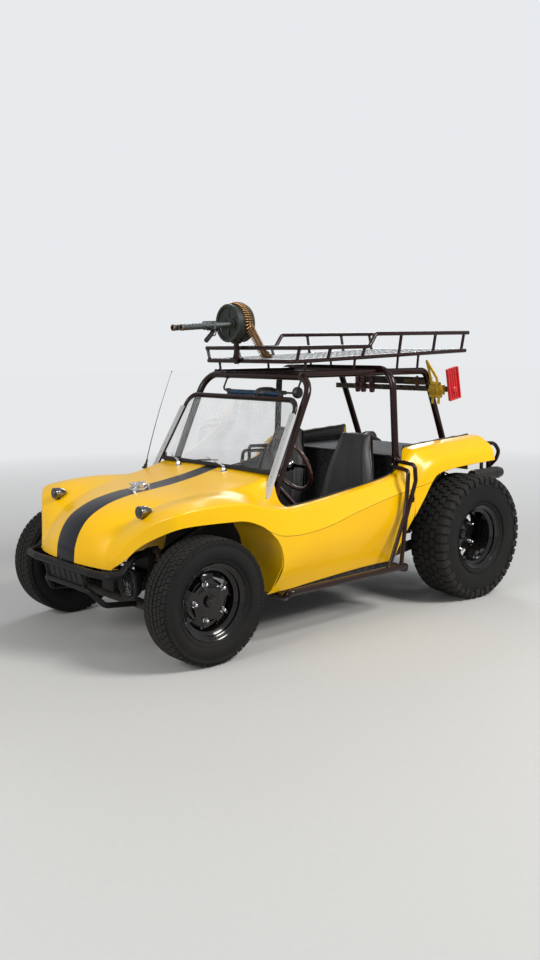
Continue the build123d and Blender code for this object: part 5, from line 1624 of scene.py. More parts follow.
@dataclass
class CageDress:
    """What the cage and rack carry: weld beads, bolted feet, clamp straps and the chequered floor."""

    half: float = 404.0
    front: float = 197.0
    rear: float = -1369.0
    pitch: float = 29.0

    def make_welds(self) -> None:
        """Beads at the rack's posts and struts and at the cage's joints."""
        beads = Shape()
        for side in SIDES:
            for x in POST_X:
                low, top = rack_z(x), (1643 if x > -400 else 1722)
                lean = Vector((0, 24 * side, top - low)).normalized()
                beads.weld(Vector((x, 425 * side, low)) + lean * 13, lean, 10.5, 2.2)
                beads.weld(Vector((x, 449 * side, top)) - lean * 13, lean, 10.5, 2.2)
            for x in STRUT_X:
                lean = Vector((0, 12 * side, rack_z(x) - 1480)).normalized()
                beads.weld(Vector((x, 420 * side, rack_z(x))) - lean * 13, lean, 8.5, 2.0)
            beads.weld((145, 547.2 * side, 700), (0.99, 0.02, 0.08), 0.5, 0.4)
            beads.weld((441, 530 * side, 853), (-0.5, 0.45 * side, -0.74), 17, 3.0)
            beads.weld((-440, 578 * side, 642), (1, -0.03 * side, 0.08), 17, 3.0)
        for side in SIDES:
            beads.weld((-1193, 404 * side, 962), (-0.37, 0, -0.93), 23, 3.0)
        beads.build("frame_welds", "car", [FRAME])

    def make_feet(self) -> None:
        """Bolted feet of the rear stays, and clamp straps where the braces meet the hoop."""
        feet = Shape()
        for side in SIDES:
            low, high = span(side, 360, 450)
            feet.slab((-1250, low, 935.5), (-1160, high, 942), 3)
            for dx, dy in ((-33, -34), (33, -34), (-33, 34), (33, 34)):
                feet.bolt((-1205 + dx, 405 * side + dy, 942), UP, 12)
            feet.band((-509, 576 * side, 903), (0, 0.05 * side, -1), 23, 26, 14)
            feet.band((-510, 574 * side, 938), (0, 0.05 * side, -1), 23, 25.5, 10)
            feet.band((-396, 812 * side, 715), (0.1, 0, -1), 14.5, 16.5, 22, 20)
            feet.bolt((-396, 828 * side, 715), (0, side, 0), 11)
        feet.build("frame_feet", "car", [FRAME], crease=30)

    def make_floor(self) -> None:
        """The rack's plate with its raised bars in a basket weave, and riveted edges."""
        plate = Shape()
        lift = 7.8
        rows = []
        for x in (self.rear, self.front):
            z = rack_z(x) + lift
            corners = ((-self.half, z), (self.half, z), (self.half, z + 3), (-self.half, z + 3))
            rows.append([Vector((x, y, height)) for y, height in corners])
        plate.grid(rows, closed=True)
        plate.faces += [(0, 1, 2, 3), (7, 6, 5, 4)]
        plate.tones += [0, 0]
        plate.tone = 1
        right, left = Vector((1, 1, 0)).normalized(), Vector((-1, 1, 0)).normalized()
        along = int((self.front - self.rear - 20) / self.pitch)
        wide = int((2 * self.half - 20) / self.pitch)
        low = [(11, 0), (7, 3.4), (-7, 3.4), (-11, 0), (-7, -3.4), (7, -3.4)]
        top = [(8, 0), (5.5, 1.6), (-5.5, 1.6), (-8, 0), (-5.5, -1.6), (5.5, -1.6)]
        faces = [(k, (k + 1) % 6, 6 + (k + 1) % 6, 6 + k) for k in range(6)] + [(6, 7, 8, 9, 10, 11)]
        for i in range(along):
            for j in range(wide):
                x = self.rear + 24 + self.pitch * i
                y = -self.half + 24 + self.pitch * j
                z = rack_z(x) + lift + 2.9
                u, v = (right, left) if (i + j) % 2 else (-left, right)
                points = [Vector((x, y, z)) + u * a + v * b for a, b in low]
                points += [Vector((x, y, z + 1.8)) + u * a + v * b for a, b in top]
                plate.add(points, faces)
        plate.build("rack_floor_chequered", "car", [PLATE, ALUMINIUM], stands_for=("rack_floor",), crease=25)
        rivets = Shape()
        for x in STRUT_X:
            for side in SIDES:
                profile = [(6, 0), (5.2, 2.2), (3, 3.4), (0.1, 3.8)]
                rivets.lathe(profile, (x, 392 * side, rack_z(x) + lift + 3), UP, 14)
        rivets.build("rack_floor_rivets", "car", [CHROME])

    def build(self) -> None:
        """Makes the cage's dress."""
        self.make_welds()
        self.make_feet()
        self.make_floor()


@dataclass
class DrumRig:
    """The drum on the rack: its case, pipes, pedestal, grip and the link belt round it."""

    middle: Point = (245.0, -90.0, 1797.0)
    radius: float = 118.0
    width: float = 130.0
    link_pitch: float = 15.4

    def make_drum(self) -> None:
        """The drum, its face forward: rolled lips, a recessed face with ribs, and a latch."""
        drum = Shape()
        r, h = self.radius, self.width / 2
        x, y, z = self.middle
        profile = [
            (0.1, h - 16), (88, h - 16), (92, h - 13), (98, h - 12), (100, h - 2), (104, h), (r - 2, h),
            (r, h - 3), (r, h - 12), (r - 3, h - 15), (r - 3, 16), (r - 1, 14), (r - 1, 8), (r - 4, 6),
            (r - 4, -h + 16), (r, -h + 12), (r, -h + 3), (r - 2, -h), (107, -h), (104, -h + 4), (96, -h + 4),
            (92, -h + 9), (0.1, -h + 9)]
        drum.lathe(profile, self.middle, AHEAD, 80)
        drum.lathe([(40, 0), (40, 12), (36, 16), (18, 17), (14, 24), (0.1, 24)], (x - h + 9, y, z), BACK, 40)
        for k in range(8):
            a = math.pi / 4 * (k + 0.5)
            drum.bolt((x + h, y + 110 * math.cos(a), z + 110 * math.sin(a)), AHEAD, 6)
        for k in range(6):
            turn = Matrix.Translation((x + h - 16, y, z)) @ Matrix.Rotation(math.pi / 3 * k, 4, "X")
            rib = Shape().plate(soft_box(5, 52, 2, 2), (0, 0, 58), ACROSS, UP, 5.0, 0.8)
            drum.merge(rib, turn)
        for side in SIDES:
            profile = [(27, 0), (27, 10), (24, 14), (20, 15)]
            drum.lathe(profile, (x + h - 16, y + 40 * side, z - 6), AHEAD, 32)
        drum.slab((x - 40, y - 24, z + self.radius - 8), (x + 8, y + 24, z + self.radius - 1), 3)
        drum.build("drum_case", "car", [DRUM], stands_for=("roof_drum",), crease=32)

    def make_pipes(self) -> None:
        """Two open pipes side by side, their jackets with dark discs of painted shade as perforations,
        bright mouths and a yoke.
        """
        pipes, mouths, holes = Shape(), Shape(), Shape()
        x, y, z = self.middle
        for side in SIDES:
            a = Vector((x + 52, y + 40 * side, z - 6))
            b = Vector((694 - 3 * side, y + 40 * side, z - 26))
            run = b - a
            length = run.length
            r = 18.5
            profile = [
                (r * 0.96, 0), (r * 0.96, 128), (r * 1.1, 130), (r * 1.1, 146), (r, 148), (r, length - 16),
                (r * 1.06, length - 14), (r * 1.06, length - 2), (r * 0.98, length)]
            pipes.lathe(profile, a, run, 28)
            profile = [
                (r * 0.98, length - 1), (r * 0.9, length + 1.5), (r * 0.7, length + 1),
                (r * 0.64, length - 4), (r * 0.64, length - 70), (0.1, length - 71)]
            mouths.lathe(profile, a, run, 28)
            ahead = run.normalized()
            across = Vector(ACROSS)
            up = ahead.cross(across).normalized()
            # Perforations drawn as dark discs on the jacket: painted shade where real holes would be
            for k in range(7):
                for turn in range(6):
                    angle = math.pi / 3 * (turn + 0.5 * (k % 2))
                    out = across * math.cos(angle) + up * math.sin(angle)
                    at = a + ahead * (172 + 27 * k) + out * (r + 0.2)
                    holes.lathe([(5.6, -0.6), (4.4, 0.4), (0.1, 0.5)], at, out, 12)
        pipes.slab((x + 196, y - 64, z - 40), (x + 214, y + 64, z + 14), 6)
        pipes.slab((x + 420, y - 26, z - 27), (x + 430, y + 26, z - 11), 3)
        for dy in (-54, 0, 54):
            pipes.bolt((x + 214, y + dy, z - 14), AHEAD, 8)
        pipes.build("drum_pipes", "car", [PIPE], crease=30)
        mouths.build("pipe_mouths", "car", [BRASS], crease=40)
        holes.build("pipe_jacket_painted_holes", "car", [GAUGE_AND_HOLE_SHADE], crease=40)

    def make_pedestal(self) -> None:
        """The post, gussets, base plate, cradle and the grip below the pipes."""
        post, grip = Shape(), Shape()
        x, y, z = self.middle
        foot = 1544.0
        profile = [(17, 0), (17, z - 122 - foot), (23, z - 120 - foot), (23, z - 112 - foot)]
        post.lathe(profile, (x - 6, y, foot), UP, 28)
        post.lathe([(17, 34), (21, 36), (21, 46), (17, 48)], (x - 6, y, foot), UP, 28)
        post.slab((x - 34, y - 45, foot + 28), (x + 16, y + 45, foot + 36), 3)
        route = [
            (x - 6, y - 60, z - 106), (x - 6, y - 34, z - 121), (x - 6, y + 34, z - 121),
            (x - 6, y + 60, z - 106)]
        post.bar(route, 7.0, 20)
        for side in SIDES:
            post.plate([(16, 36), (30, 36), (16, 80)] if side > 0 else [(-30, 36), (-16, 36), (-16, 80)],
                       (x - 6, y - 2.5, foot), AHEAD, UP, -5.0, 0.6)
            for dy in (34, -34):
                post.bolt((x - 6 + 16 * side, y + dy, foot + 36), UP, 10)
        post.build("drum_post", "car", [FRAME], crease=32)
        grip.slab((x + 150, y - 22, z - 44), (x + 216, y + 22, z - 26), 6)
        grip.bar([(x + 168, y, z - 36), (x + 190, y, z - 66), (x + 238, y, z - 112)], 14.0, 20, 16, 0.6)
        route = [(x + 150, y, z - 40), (x + 158, y, z - 74), (x + 190, y, z - 78), (x + 206, y, z - 74)]
        grip.bar(route, 3.5, 14, 10)
        for k in range(5):
            profile = [(13.6, -2), (15.2, 0), (13.6, 2)]
            grip.lathe(profile, (x + 204 + 7 * k, y, z - 79.5 - 6.7 * k), (0.72, 0, -0.69), 20)
        grip.build("drum_grip", "car", [RUBBER], crease=35)

    def link(self, brass: Shape, clips: Shape, at: Vector, ahead: Vector) -> None:
        """Adds one belt link.

        Args:
            brass: Shape for the round part.
            clips: Shape for the clip that joins it to the next.
            at: Middle of the link.
            ahead: Direction of the belt there.
        """
        axis = Vector(AHEAD)
        axis = (axis - ahead * axis.dot(ahead)).normalized()
        place = Matrix.Translation(at) @ Matrix((ahead, axis, ahead.cross(axis))).transposed().to_4x4()
        profile = [
            (0.1, 0), (6.6, 0.6), (6.6, 2), (5.4, 3), (5.4, 4.4), (6.6, 5.4), (6.4, 40), (4.6, 46),
            (4.6, 50), (3.6, 55), (1.6, 60), (0.1, 61)]
        rounds = Shape().lathe(profile, (0, -28, 0), ACROSS, 12)
        brass.merge(rounds, place)
        clip = Shape()
        for y in (-14.0, 8.0):
            clip.lathe([(7.0, -4), (8.0, -3.4), (8.0, 3.4), (7.0, 4)], (0, y, 0), ACROSS, 12)
            clip.slab((2, y - 3.5, -3), (12, y + 3.5, 3), 1)
        clips.merge(clip, place)

    def make_belt(self) -> None:
        """The belt: over the drum and round its side, then down in a slack run onto the rack's plate."""
        brass, clips = Shape(), Shape()
        x, y, z = self.middle
        x -= 10
        path: list[Vector] = []
        reach = self.radius + 6.0
        for k in range(14):
            a = math.radians(102 - 8.4 * k)
            path.append(Vector((x, y + reach * math.cos(a), z + reach * math.sin(a))))
        last = path[-1]
        slack = bent(
            [
                last, (x - 6, y + reach + 4, z - 34), (x - 128, y + reach - 22, rack_z(x - 128) + 46),
                (x - 196, y + 84, rack_z(x - 196) + 14), (x - 212, y + 20, rack_z(x - 212) + 13)],
            40, 8)
        path += slack[1:]
        placed = [path[0]]
        carry = 0.0
        for a, b in zip(path, path[1:]):
            run = (b - a).length
            while carry + run >= self.link_pitch:
                t = (self.link_pitch - carry) / run
                a = a.lerp(b, t)
                run = (b - a).length
                carry = 0.0
                placed.append(a.copy())
            carry += run
        for here, there in zip(placed, placed[1:]):
            self.link(brass, clips, here, (there - here).normalized())
        brass.build("belt_rounds", "car", [BRASS], stands_for=("link_belt",), crease=35)
        clips.build("belt_clips", "car", [STEEL], crease=30)

    def build(self) -> None:
        """Makes the drum rig."""
        self.make_drum()
        self.make_pipes()
        self.make_pedestal()
        self.make_belt()


@dataclass
class JackDress:
    """The farm jack's small parts: clamps, runner bolts and springs, second rail, casting and ribs."""

    face_x: float = -1008.0
    z: float = 1352.0

    def build(self) -> None:
        """Makes the jack's pieces from the clamps to the foot's ribs."""
        clamps = Shape()
        for y in (-252, -196, -112):
            clamps.plate(soft_box(34, 128, 15, 5), (self.face_x - 24, y, self.z + 20), ACROSS, UP, 30.0, 4.0)
            profile = [(15, 0), (15, 10), (10, 14), (0.1, 15)]
            clamps.lathe(profile, (self.face_x + 6, y, self.z + 8), AHEAD, 22)
            clamps.bolt((self.face_x + 6, y, self.z - 26), AHEAD, 13)
        clamps.plate(
            [(-15, -6), (15, -6), (20, 46), (0, 62), (-20, 46)], (self.face_x - 8, 316, self.z + 24), ACROSS,
            UP, 12.0, 3.0)
        clamps.build("jack_clamps", "car", [CLAMP_RED], crease=32)
        runner = Shape()
        runner.slab((-1000, 452, self.z - 58), (-970, 548, self.z - 34), 6)
        runner.slab((-1004, 470, self.z + 26), (-968, 532, self.z + 46), 5)
        for y in (462, 500, 538):
            runner.bolt((-964.5, y, self.z - 12), AHEAD, 14)
        for y in (474, 526):
            runner.lathe([(9, 0), (9, 34), (6, 38), (0.1, 38)], (-985, y, self.z - 60), DOWN, 18)
        runner.bar([(-982, 470, self.z + 44), (-982, 492, 1396)], 7.0, 0, 12)
        runner.build("jack_runner_parts", "car", [RUNNER_YELLOW], crease=32)
        rail = Shape()
        rail.plate(soft_box(690, 44, 4, 3), (self.face_x - 12, 95, self.z + 50), ACROSS, UP, 7.0, 1.0)
        for dz in (-22, 22):
            rail.slab(
                (self.face_x - 20, -250, self.z + 47 + dz), (self.face_x + 6, 440, self.z + 53 + dz), 2)
        for k in range(17):
            profile = [(7.2, 0), (8.6, 1.2), (8.6, 2.2)]
            rail.lathe(profile, (self.face_x - 5, -225 + 40 * k, self.z + 50), AHEAD, 16)
        rail.build("jack_second_rail", "car", [STEEL], crease=32)
        casting = Shape()
        casting.plate(soft_box(250, 40, 14, 5), (self.face_x - 2, 330, self.z + 44), ACROSS, UP, 14.0, 3.0)
        for y in (228, 262, 296):
            casting.bolt((self.face_x + 12, y, self.z + 44), AHEAD, 13)
        casting.build("jack_casting", "car", [CASTING], crease=32)
        eyes = Shape()
        for k in range(26):
            profile = [(5.2, 0), (6.4, 1.2), (6.4, 2.0)]
            eyes.lathe(profile, (self.face_x + 0.4, -430 + 40 * k, self.z), AHEAD, 14)
        eyes.build("jack_beam_eyes", "car", [STEEL])
        turn = Matrix.Translation((-1010, 624.3, self.z + 40)) @ Matrix.Rotation(math.radians(10), 4, "Y")
        part = Shape()
        for dx in (-50, 50):
            part.slab((dx - 6, -4, -104), (dx + 6, 15, 104), 4)
        for dx in (-22, 0, 22):
            part.slab((dx - 4, 3, -92), (dx + 4, 9, 92), 3)
        part.slab((-56, -4, -108), (56, 16, -98), 4)
        part.slab((-44, -4, 96), (44, 13, 106), 4)
        part.lathe([(20, 0), (20, 12), (14, 16), (0.1, 17)], (0, 3, -40), ACROSS, 24)
        part.moved(turn).build("jack_foot_ribs", "car", [RED], crease=32)


@dataclass
class NoseDress:
    """Fender lamps, headlamps, the fuel cap's fittings, and the bumper's bolts, clamps and ribs."""

    cap: Point = (1056.0, 0.0, 848.0)
    lid_z: float = 869.0

    def make_fender_lamps(self) -> None:
        """Teardrop lamps with ribbed lenses on short stalks."""
        shells, lenses = Shape(), Shape()
        for side in SIDES:
            at = (1346, 457 * side, 803)
            profile = [
                (27, 10), (33, 11), (34.5, 8), (34, 2), (33, -8), (33.5, -14), (32, -28), (27, -45),
                (19, -60), (10, -70), (4, -74), (0.1, -75)]
            shells.lathe(profile, at, AHEAD, 36)
            profile = [(28, 10), (26, 13), (23, 12), (21, 15), (17, 14), (14, 17), (9, 16), (0.1, 18.5)]
            lenses.lathe(profile, at, AHEAD, 36)
            shells.hose([Vector((1322, 457 * side, z)) for z in (748, 760, 776)], [17, 9, 9], 20)
            profile = [(26, -2), (24, 4), (15, 9), (9, 12)]
            shells.lathe(profile, (1322, 457 * side, 760), (-0.55, 0.2 * side, 1), 28)
        shells.build("fender_lamp_shells", "car", [DARK_CHROME], stands_for=("fender_lamps",), crease=35)
        lenses.build("fender_lamp_lenses", "car", [LENS], crease=50)

    def make_headlamps(self) -> None:
        """Black lamp bowls with stepped rims, a stone guard and their brackets."""
        bowls, guards, lenses = Shape(), Shape(), Shape()
        for side in SIDES:
            at = (1372, 365 * side, 404)
            profile = [
                (72, 8), (78, 10), (80, 14), (86, 15), (88.5, 11), (88.5, 2), (85, -2), (82, -18), (70, -40),
                (50, -54), (24, -60), (0.1, -61)]
            bowls.lathe(profile, at, AHEAD, 56)
            for r in (66, 50, 34, 18):
                guards.lathe([(r - 2, 12), (r, 15), (r + 2, 12), (r, 10)], at, AHEAD, 48, closed=True)
            for k in range(4):
                a = math.pi / 4 * (2 * k + 1)
                c, s = math.cos(a), math.sin(a)
                wire = [
                    Vector((x, at[1] + r * c, at[2] + r * s))
                    for x, r in ((1384, 10), (1388, 44), (1385, 78))]
                guards.hose(wire, [2.2] * 3, 8)
            lenses.lathe([(72, 8), (55, 10), (30, 11.5), (0.1, 12)], at, AHEAD, 48)
            stem = [Vector((x, 365 * side, z)) for x, z in ((1325, 406), (1300, 409), (1280, 412))]
            bowls.hose(stem, [14, 11, 13], 16)
            low, high = span(side, 351, 379)
            bowls.slab((1262, low, 440), (1290, high, 452), 3)
            bowls.bolt((1340, 365 * side + 30, 350), (0, side, 0), 11)
        bowls.build("headlamp_bowls", "car", [RUBBER], stands_for=("headlamps",), crease=35)
        guards.build("headlamp_guards", "car", [SHROUD])
        lenses.build("headlamp_lenses", "car", [LENS], crease=50)

    def make_cap(self) -> None:
        """The cap's collar screws and ribs, and the flip lever that rides on the lid."""
        x, y, z = self.cap
        collar = Shape()
        for k in range(8):
            a = math.pi / 4 * (k + 0.5)
            profile = [(4.2, 0), (4.0, 1.8), (2.2, 2.8), (0.1, 3.0)]
            collar.lathe(profile, (x + 51 * math.cos(a), 51 * math.sin(a), z + 9), UP, 14)
        collar.lathe([(44.2, -3), (46.5, -1), (46.5, 2), (44.2, 4)], (x, y, z + 10), UP, 56)
        collar.slab((x + 45, -9, z + 8), (x + 56, 9, z + 17), 2)
        collar.build("cap_collar_parts", "car", [CHROME], crease=35)
        lid = Shape()
        top = self.lid_z + 8
        profile = [
            (45, -7), (46.5, -5), (46.5, -2), (45, -0.5), (40, 0.2), (36, 3), (28, 5.5), (14, 7), (0.1, 7.4)]
        lid.lathe(profile, (x, y, top), UP, 64)
        lid.lathe([(33, 4.2), (31, 6.6), (29, 5.2)], (x, y, top), UP, 64)
        lid.plate(soft_box(104, 15, 5, 4), (x + 2, 0, top + 5), AHEAD, ACROSS, 6.0, 1.8)
        lid.plate(soft_box(20, 26, 6, 4), (x + 50, 0, top + 3), AHEAD, ACROSS, 5.0, 1.6)
        lid.bolt((x - 6, 0, top + 10.6), UP, 9)
        lid.build("cap_lid_lever", "filler_cap", [CHROME], crease=35)

    def make_bumper(self) -> None:
        """Bolts, weld beads, clamps and upright ribs on the front bumper."""
        parts = Shape()
        for y in (-205, 205):
            for x, z in ((1569, 460), (1553, 396)):
                parts.bolt((x, y, z), (1, 0, -0.25), 13)
            parts.weld((1560, math.copysign(200, y), 470), (0.15, 0, 1), 9.5, 2.0)
        for side in SIDES:
            parts.band((1430, 453 * side, 526), (0.68, 0.09 * side, -0.72), 21, 24, 12)
            parts.bolt((1430, 477 * side, 526), (0, side, 0), 12)
            parts.weld((1303, 442 * side, 580), (1, 0, -0.1), 21, 3)
        for k in range(7):
            y = -180 + 60 * k
            parts.plate(soft_box(8, 66, 3.5, 3), (1556.5, y, 428), ACROSS, (-0.23, 0, -0.97), 3.0, 0.8)
        parts.build("bumper_parts", "car", [SHROUD], crease=32)

    def build(self) -> None:
        """Makes the nose's fittings."""
        self.make_fender_lamps()
        self.make_headlamps()
        self.make_cap()
        self.make_bumper()


@dataclass
class Seat:
    """One high-backed seat: a stiff shell, a padded cushion and back with sewn channels, and its piping."""

    side: Side
    middle_y: float = 325.0
    channels: int = 5

    def pad(
        self, name: str, foot: Vector, head: Vector, out: Vector, half: Callable[[float], float],
        thick: float, rolls: float = 0.0) -> None:
        """Makes one pad: a closed crowned form with channels and raised side rolls.

        Args:
            name: The piece's name.
            foot: Middle of its low edge, on its middle surface.
            head: Middle of its high edge.
            out: Direction of the face one sits on.
            half: Half width at a share of the way from foot to head.
            thick: Half the pad's thickness at its crown.
            rolls: Extra height of the side rolls.
        """
        up = head - foot
        wide = Vector(ACROSS)
        out = (out - up.normalized() * out.dot(up.normalized())).normalized()
        count_u, count_v = 44, 48
        zone = 0.66
        shape = Shape()
        for face in (1, -1):
            rows = []
            for i in range(count_v + 1):
                b = -math.cos(math.pi * i / count_v)
                row = []
                for j in range(count_u + 1):
                    a = -math.cos(math.pi * j / count_u)
                    edge = (max(1 - abs(a) ** 3.2, 0.0) ** 0.42) * (max(1 - abs(b) ** 4.5, 0.0) ** 0.42)
                    t = (b + 1) / 2
                    pull = 1 - 0.025 * math.cos(3 * math.pi * b) * (abs(a) ** 6)
                    width = half(t) * pull
                    height = thick * edge
                    if face > 0:
                        inner = max(1 - abs(a / zone) ** 8, 0.0)
                        groove = math.cos(
                            math.pi * self.channels * a / zone + math.pi * (self.channels + 1)) ** 10
                        height -= 5.0 * groove * inner * edge
                        height -= 7.0 * math.exp(-((abs(a) - 0.68) / 0.035) ** 2) * edge
                        height += rolls * math.exp(-((abs(a) - 0.86) / 0.13) ** 2) * edge
                        wrinkle = noise.noise(
                            Vector((a * 3.1, b * 4.7, 2.0 + thick * 0.1 + self.side.value)))
                        height += 2.4 * wrinkle * edge
                    at = foot + up * t + wide * (a * width) + out * (height * face)
                    row.append(Vector((at.x, at.y + self.middle_y, at.z)))
                rows.append(row)
            shape.grid(rows, flip=face < 0)
        piece = shape.on(self.side).build(name, "car", [VINYL], crease=70)
        seam = Shape()
        path = []
        for k in range(97):
            turn = 2 * math.pi * k / 96
            c, s = math.cos(turn), math.sin(turn)
            a = math.copysign(abs(c) ** 0.45, c)
            b = math.copysign(abs(s) ** 0.45, s)
            t = (b + 1) / 2
            at = foot + up * t + wide * (a * half(t) * 1.004)
            path.append(Vector((at.x, at.y + self.middle_y, at.z)))
        seam.hose(path, [3.6] * len(path), 8, 0.1)
        seam.on(self.side).build(f"{name}_piping", "car", [PIPING])

    def build(self) -> None:
        """Makes the seat."""
        word = self.side.word
        hide = ("seats",) if self.side is Side.LEFT else ()

        def back_half(t: float) -> float:
            """Half width of the back: wide at the ribs, drawn in to the head."""
            return spline([[205], [219], [208], [170], [140], [118]], [0, 0.25, 0.5, 0.72, 0.87, 1.0], t)[0]

        shell = Shape()
        rows = []
        for i in range(25):
            t = i / 24
            at = Vector((-292, 0, 330)).lerp(Vector((-438, 0, 1070)), t)
            width = back_half(t) + 7
            row = []
            for j in range(25):
                a = -1 + 2 * j / 24
                bow = -52 + 46 * abs(a) ** 3 + (12 * (1 - t))
                row.append(Vector((at.x + bow + 18, self.middle_y + a * width, at.z - 6 * abs(a) ** 4 * t)))
            rows.append(row)
        shell.grid(rows)
        shell.on(self.side).build(f"seat_shell_{word}", "car", [DECK], wall=4.0, stands_for=hide)
        self.pad(
            f"seat_back_{word}", Vector((-262, 0, 430)), Vector((-412, 0, 1086)), Vector((1, 0, 0.25)),
            back_half, 44.0, 24.0)
        self.pad(
            f"seat_cushion_{word}", Vector((-285, 0, 436)), Vector((160, 0, 452)), Vector(UP),
            lambda t: 212 + 8 * math.sin(math.pi * t), 44.0, 18.0)
        base = Shape()
        base.slab((-270, 140, 292), (120, 176, 398), 6)
        base.slab((-270, 474, 292), (120, 510, 398), 6)
        base.slab((-262, 176, 372), (112, 474, 396), 5)
        for y in (158, 492):
            base.bar([(-300, y, 300), (140, y, 300)], 9.0)
            for x in (-250, 100):
                base.bolt((x, y, 309), UP, 13)
        base.bar([(140, 200, 330), (172, 200, 322), (172, 450, 322), (140, 450, 330)], 6.0, 14)
        base.on(self.side).build(f"seat_base_{word}", "car", [AXLE], crease=32)


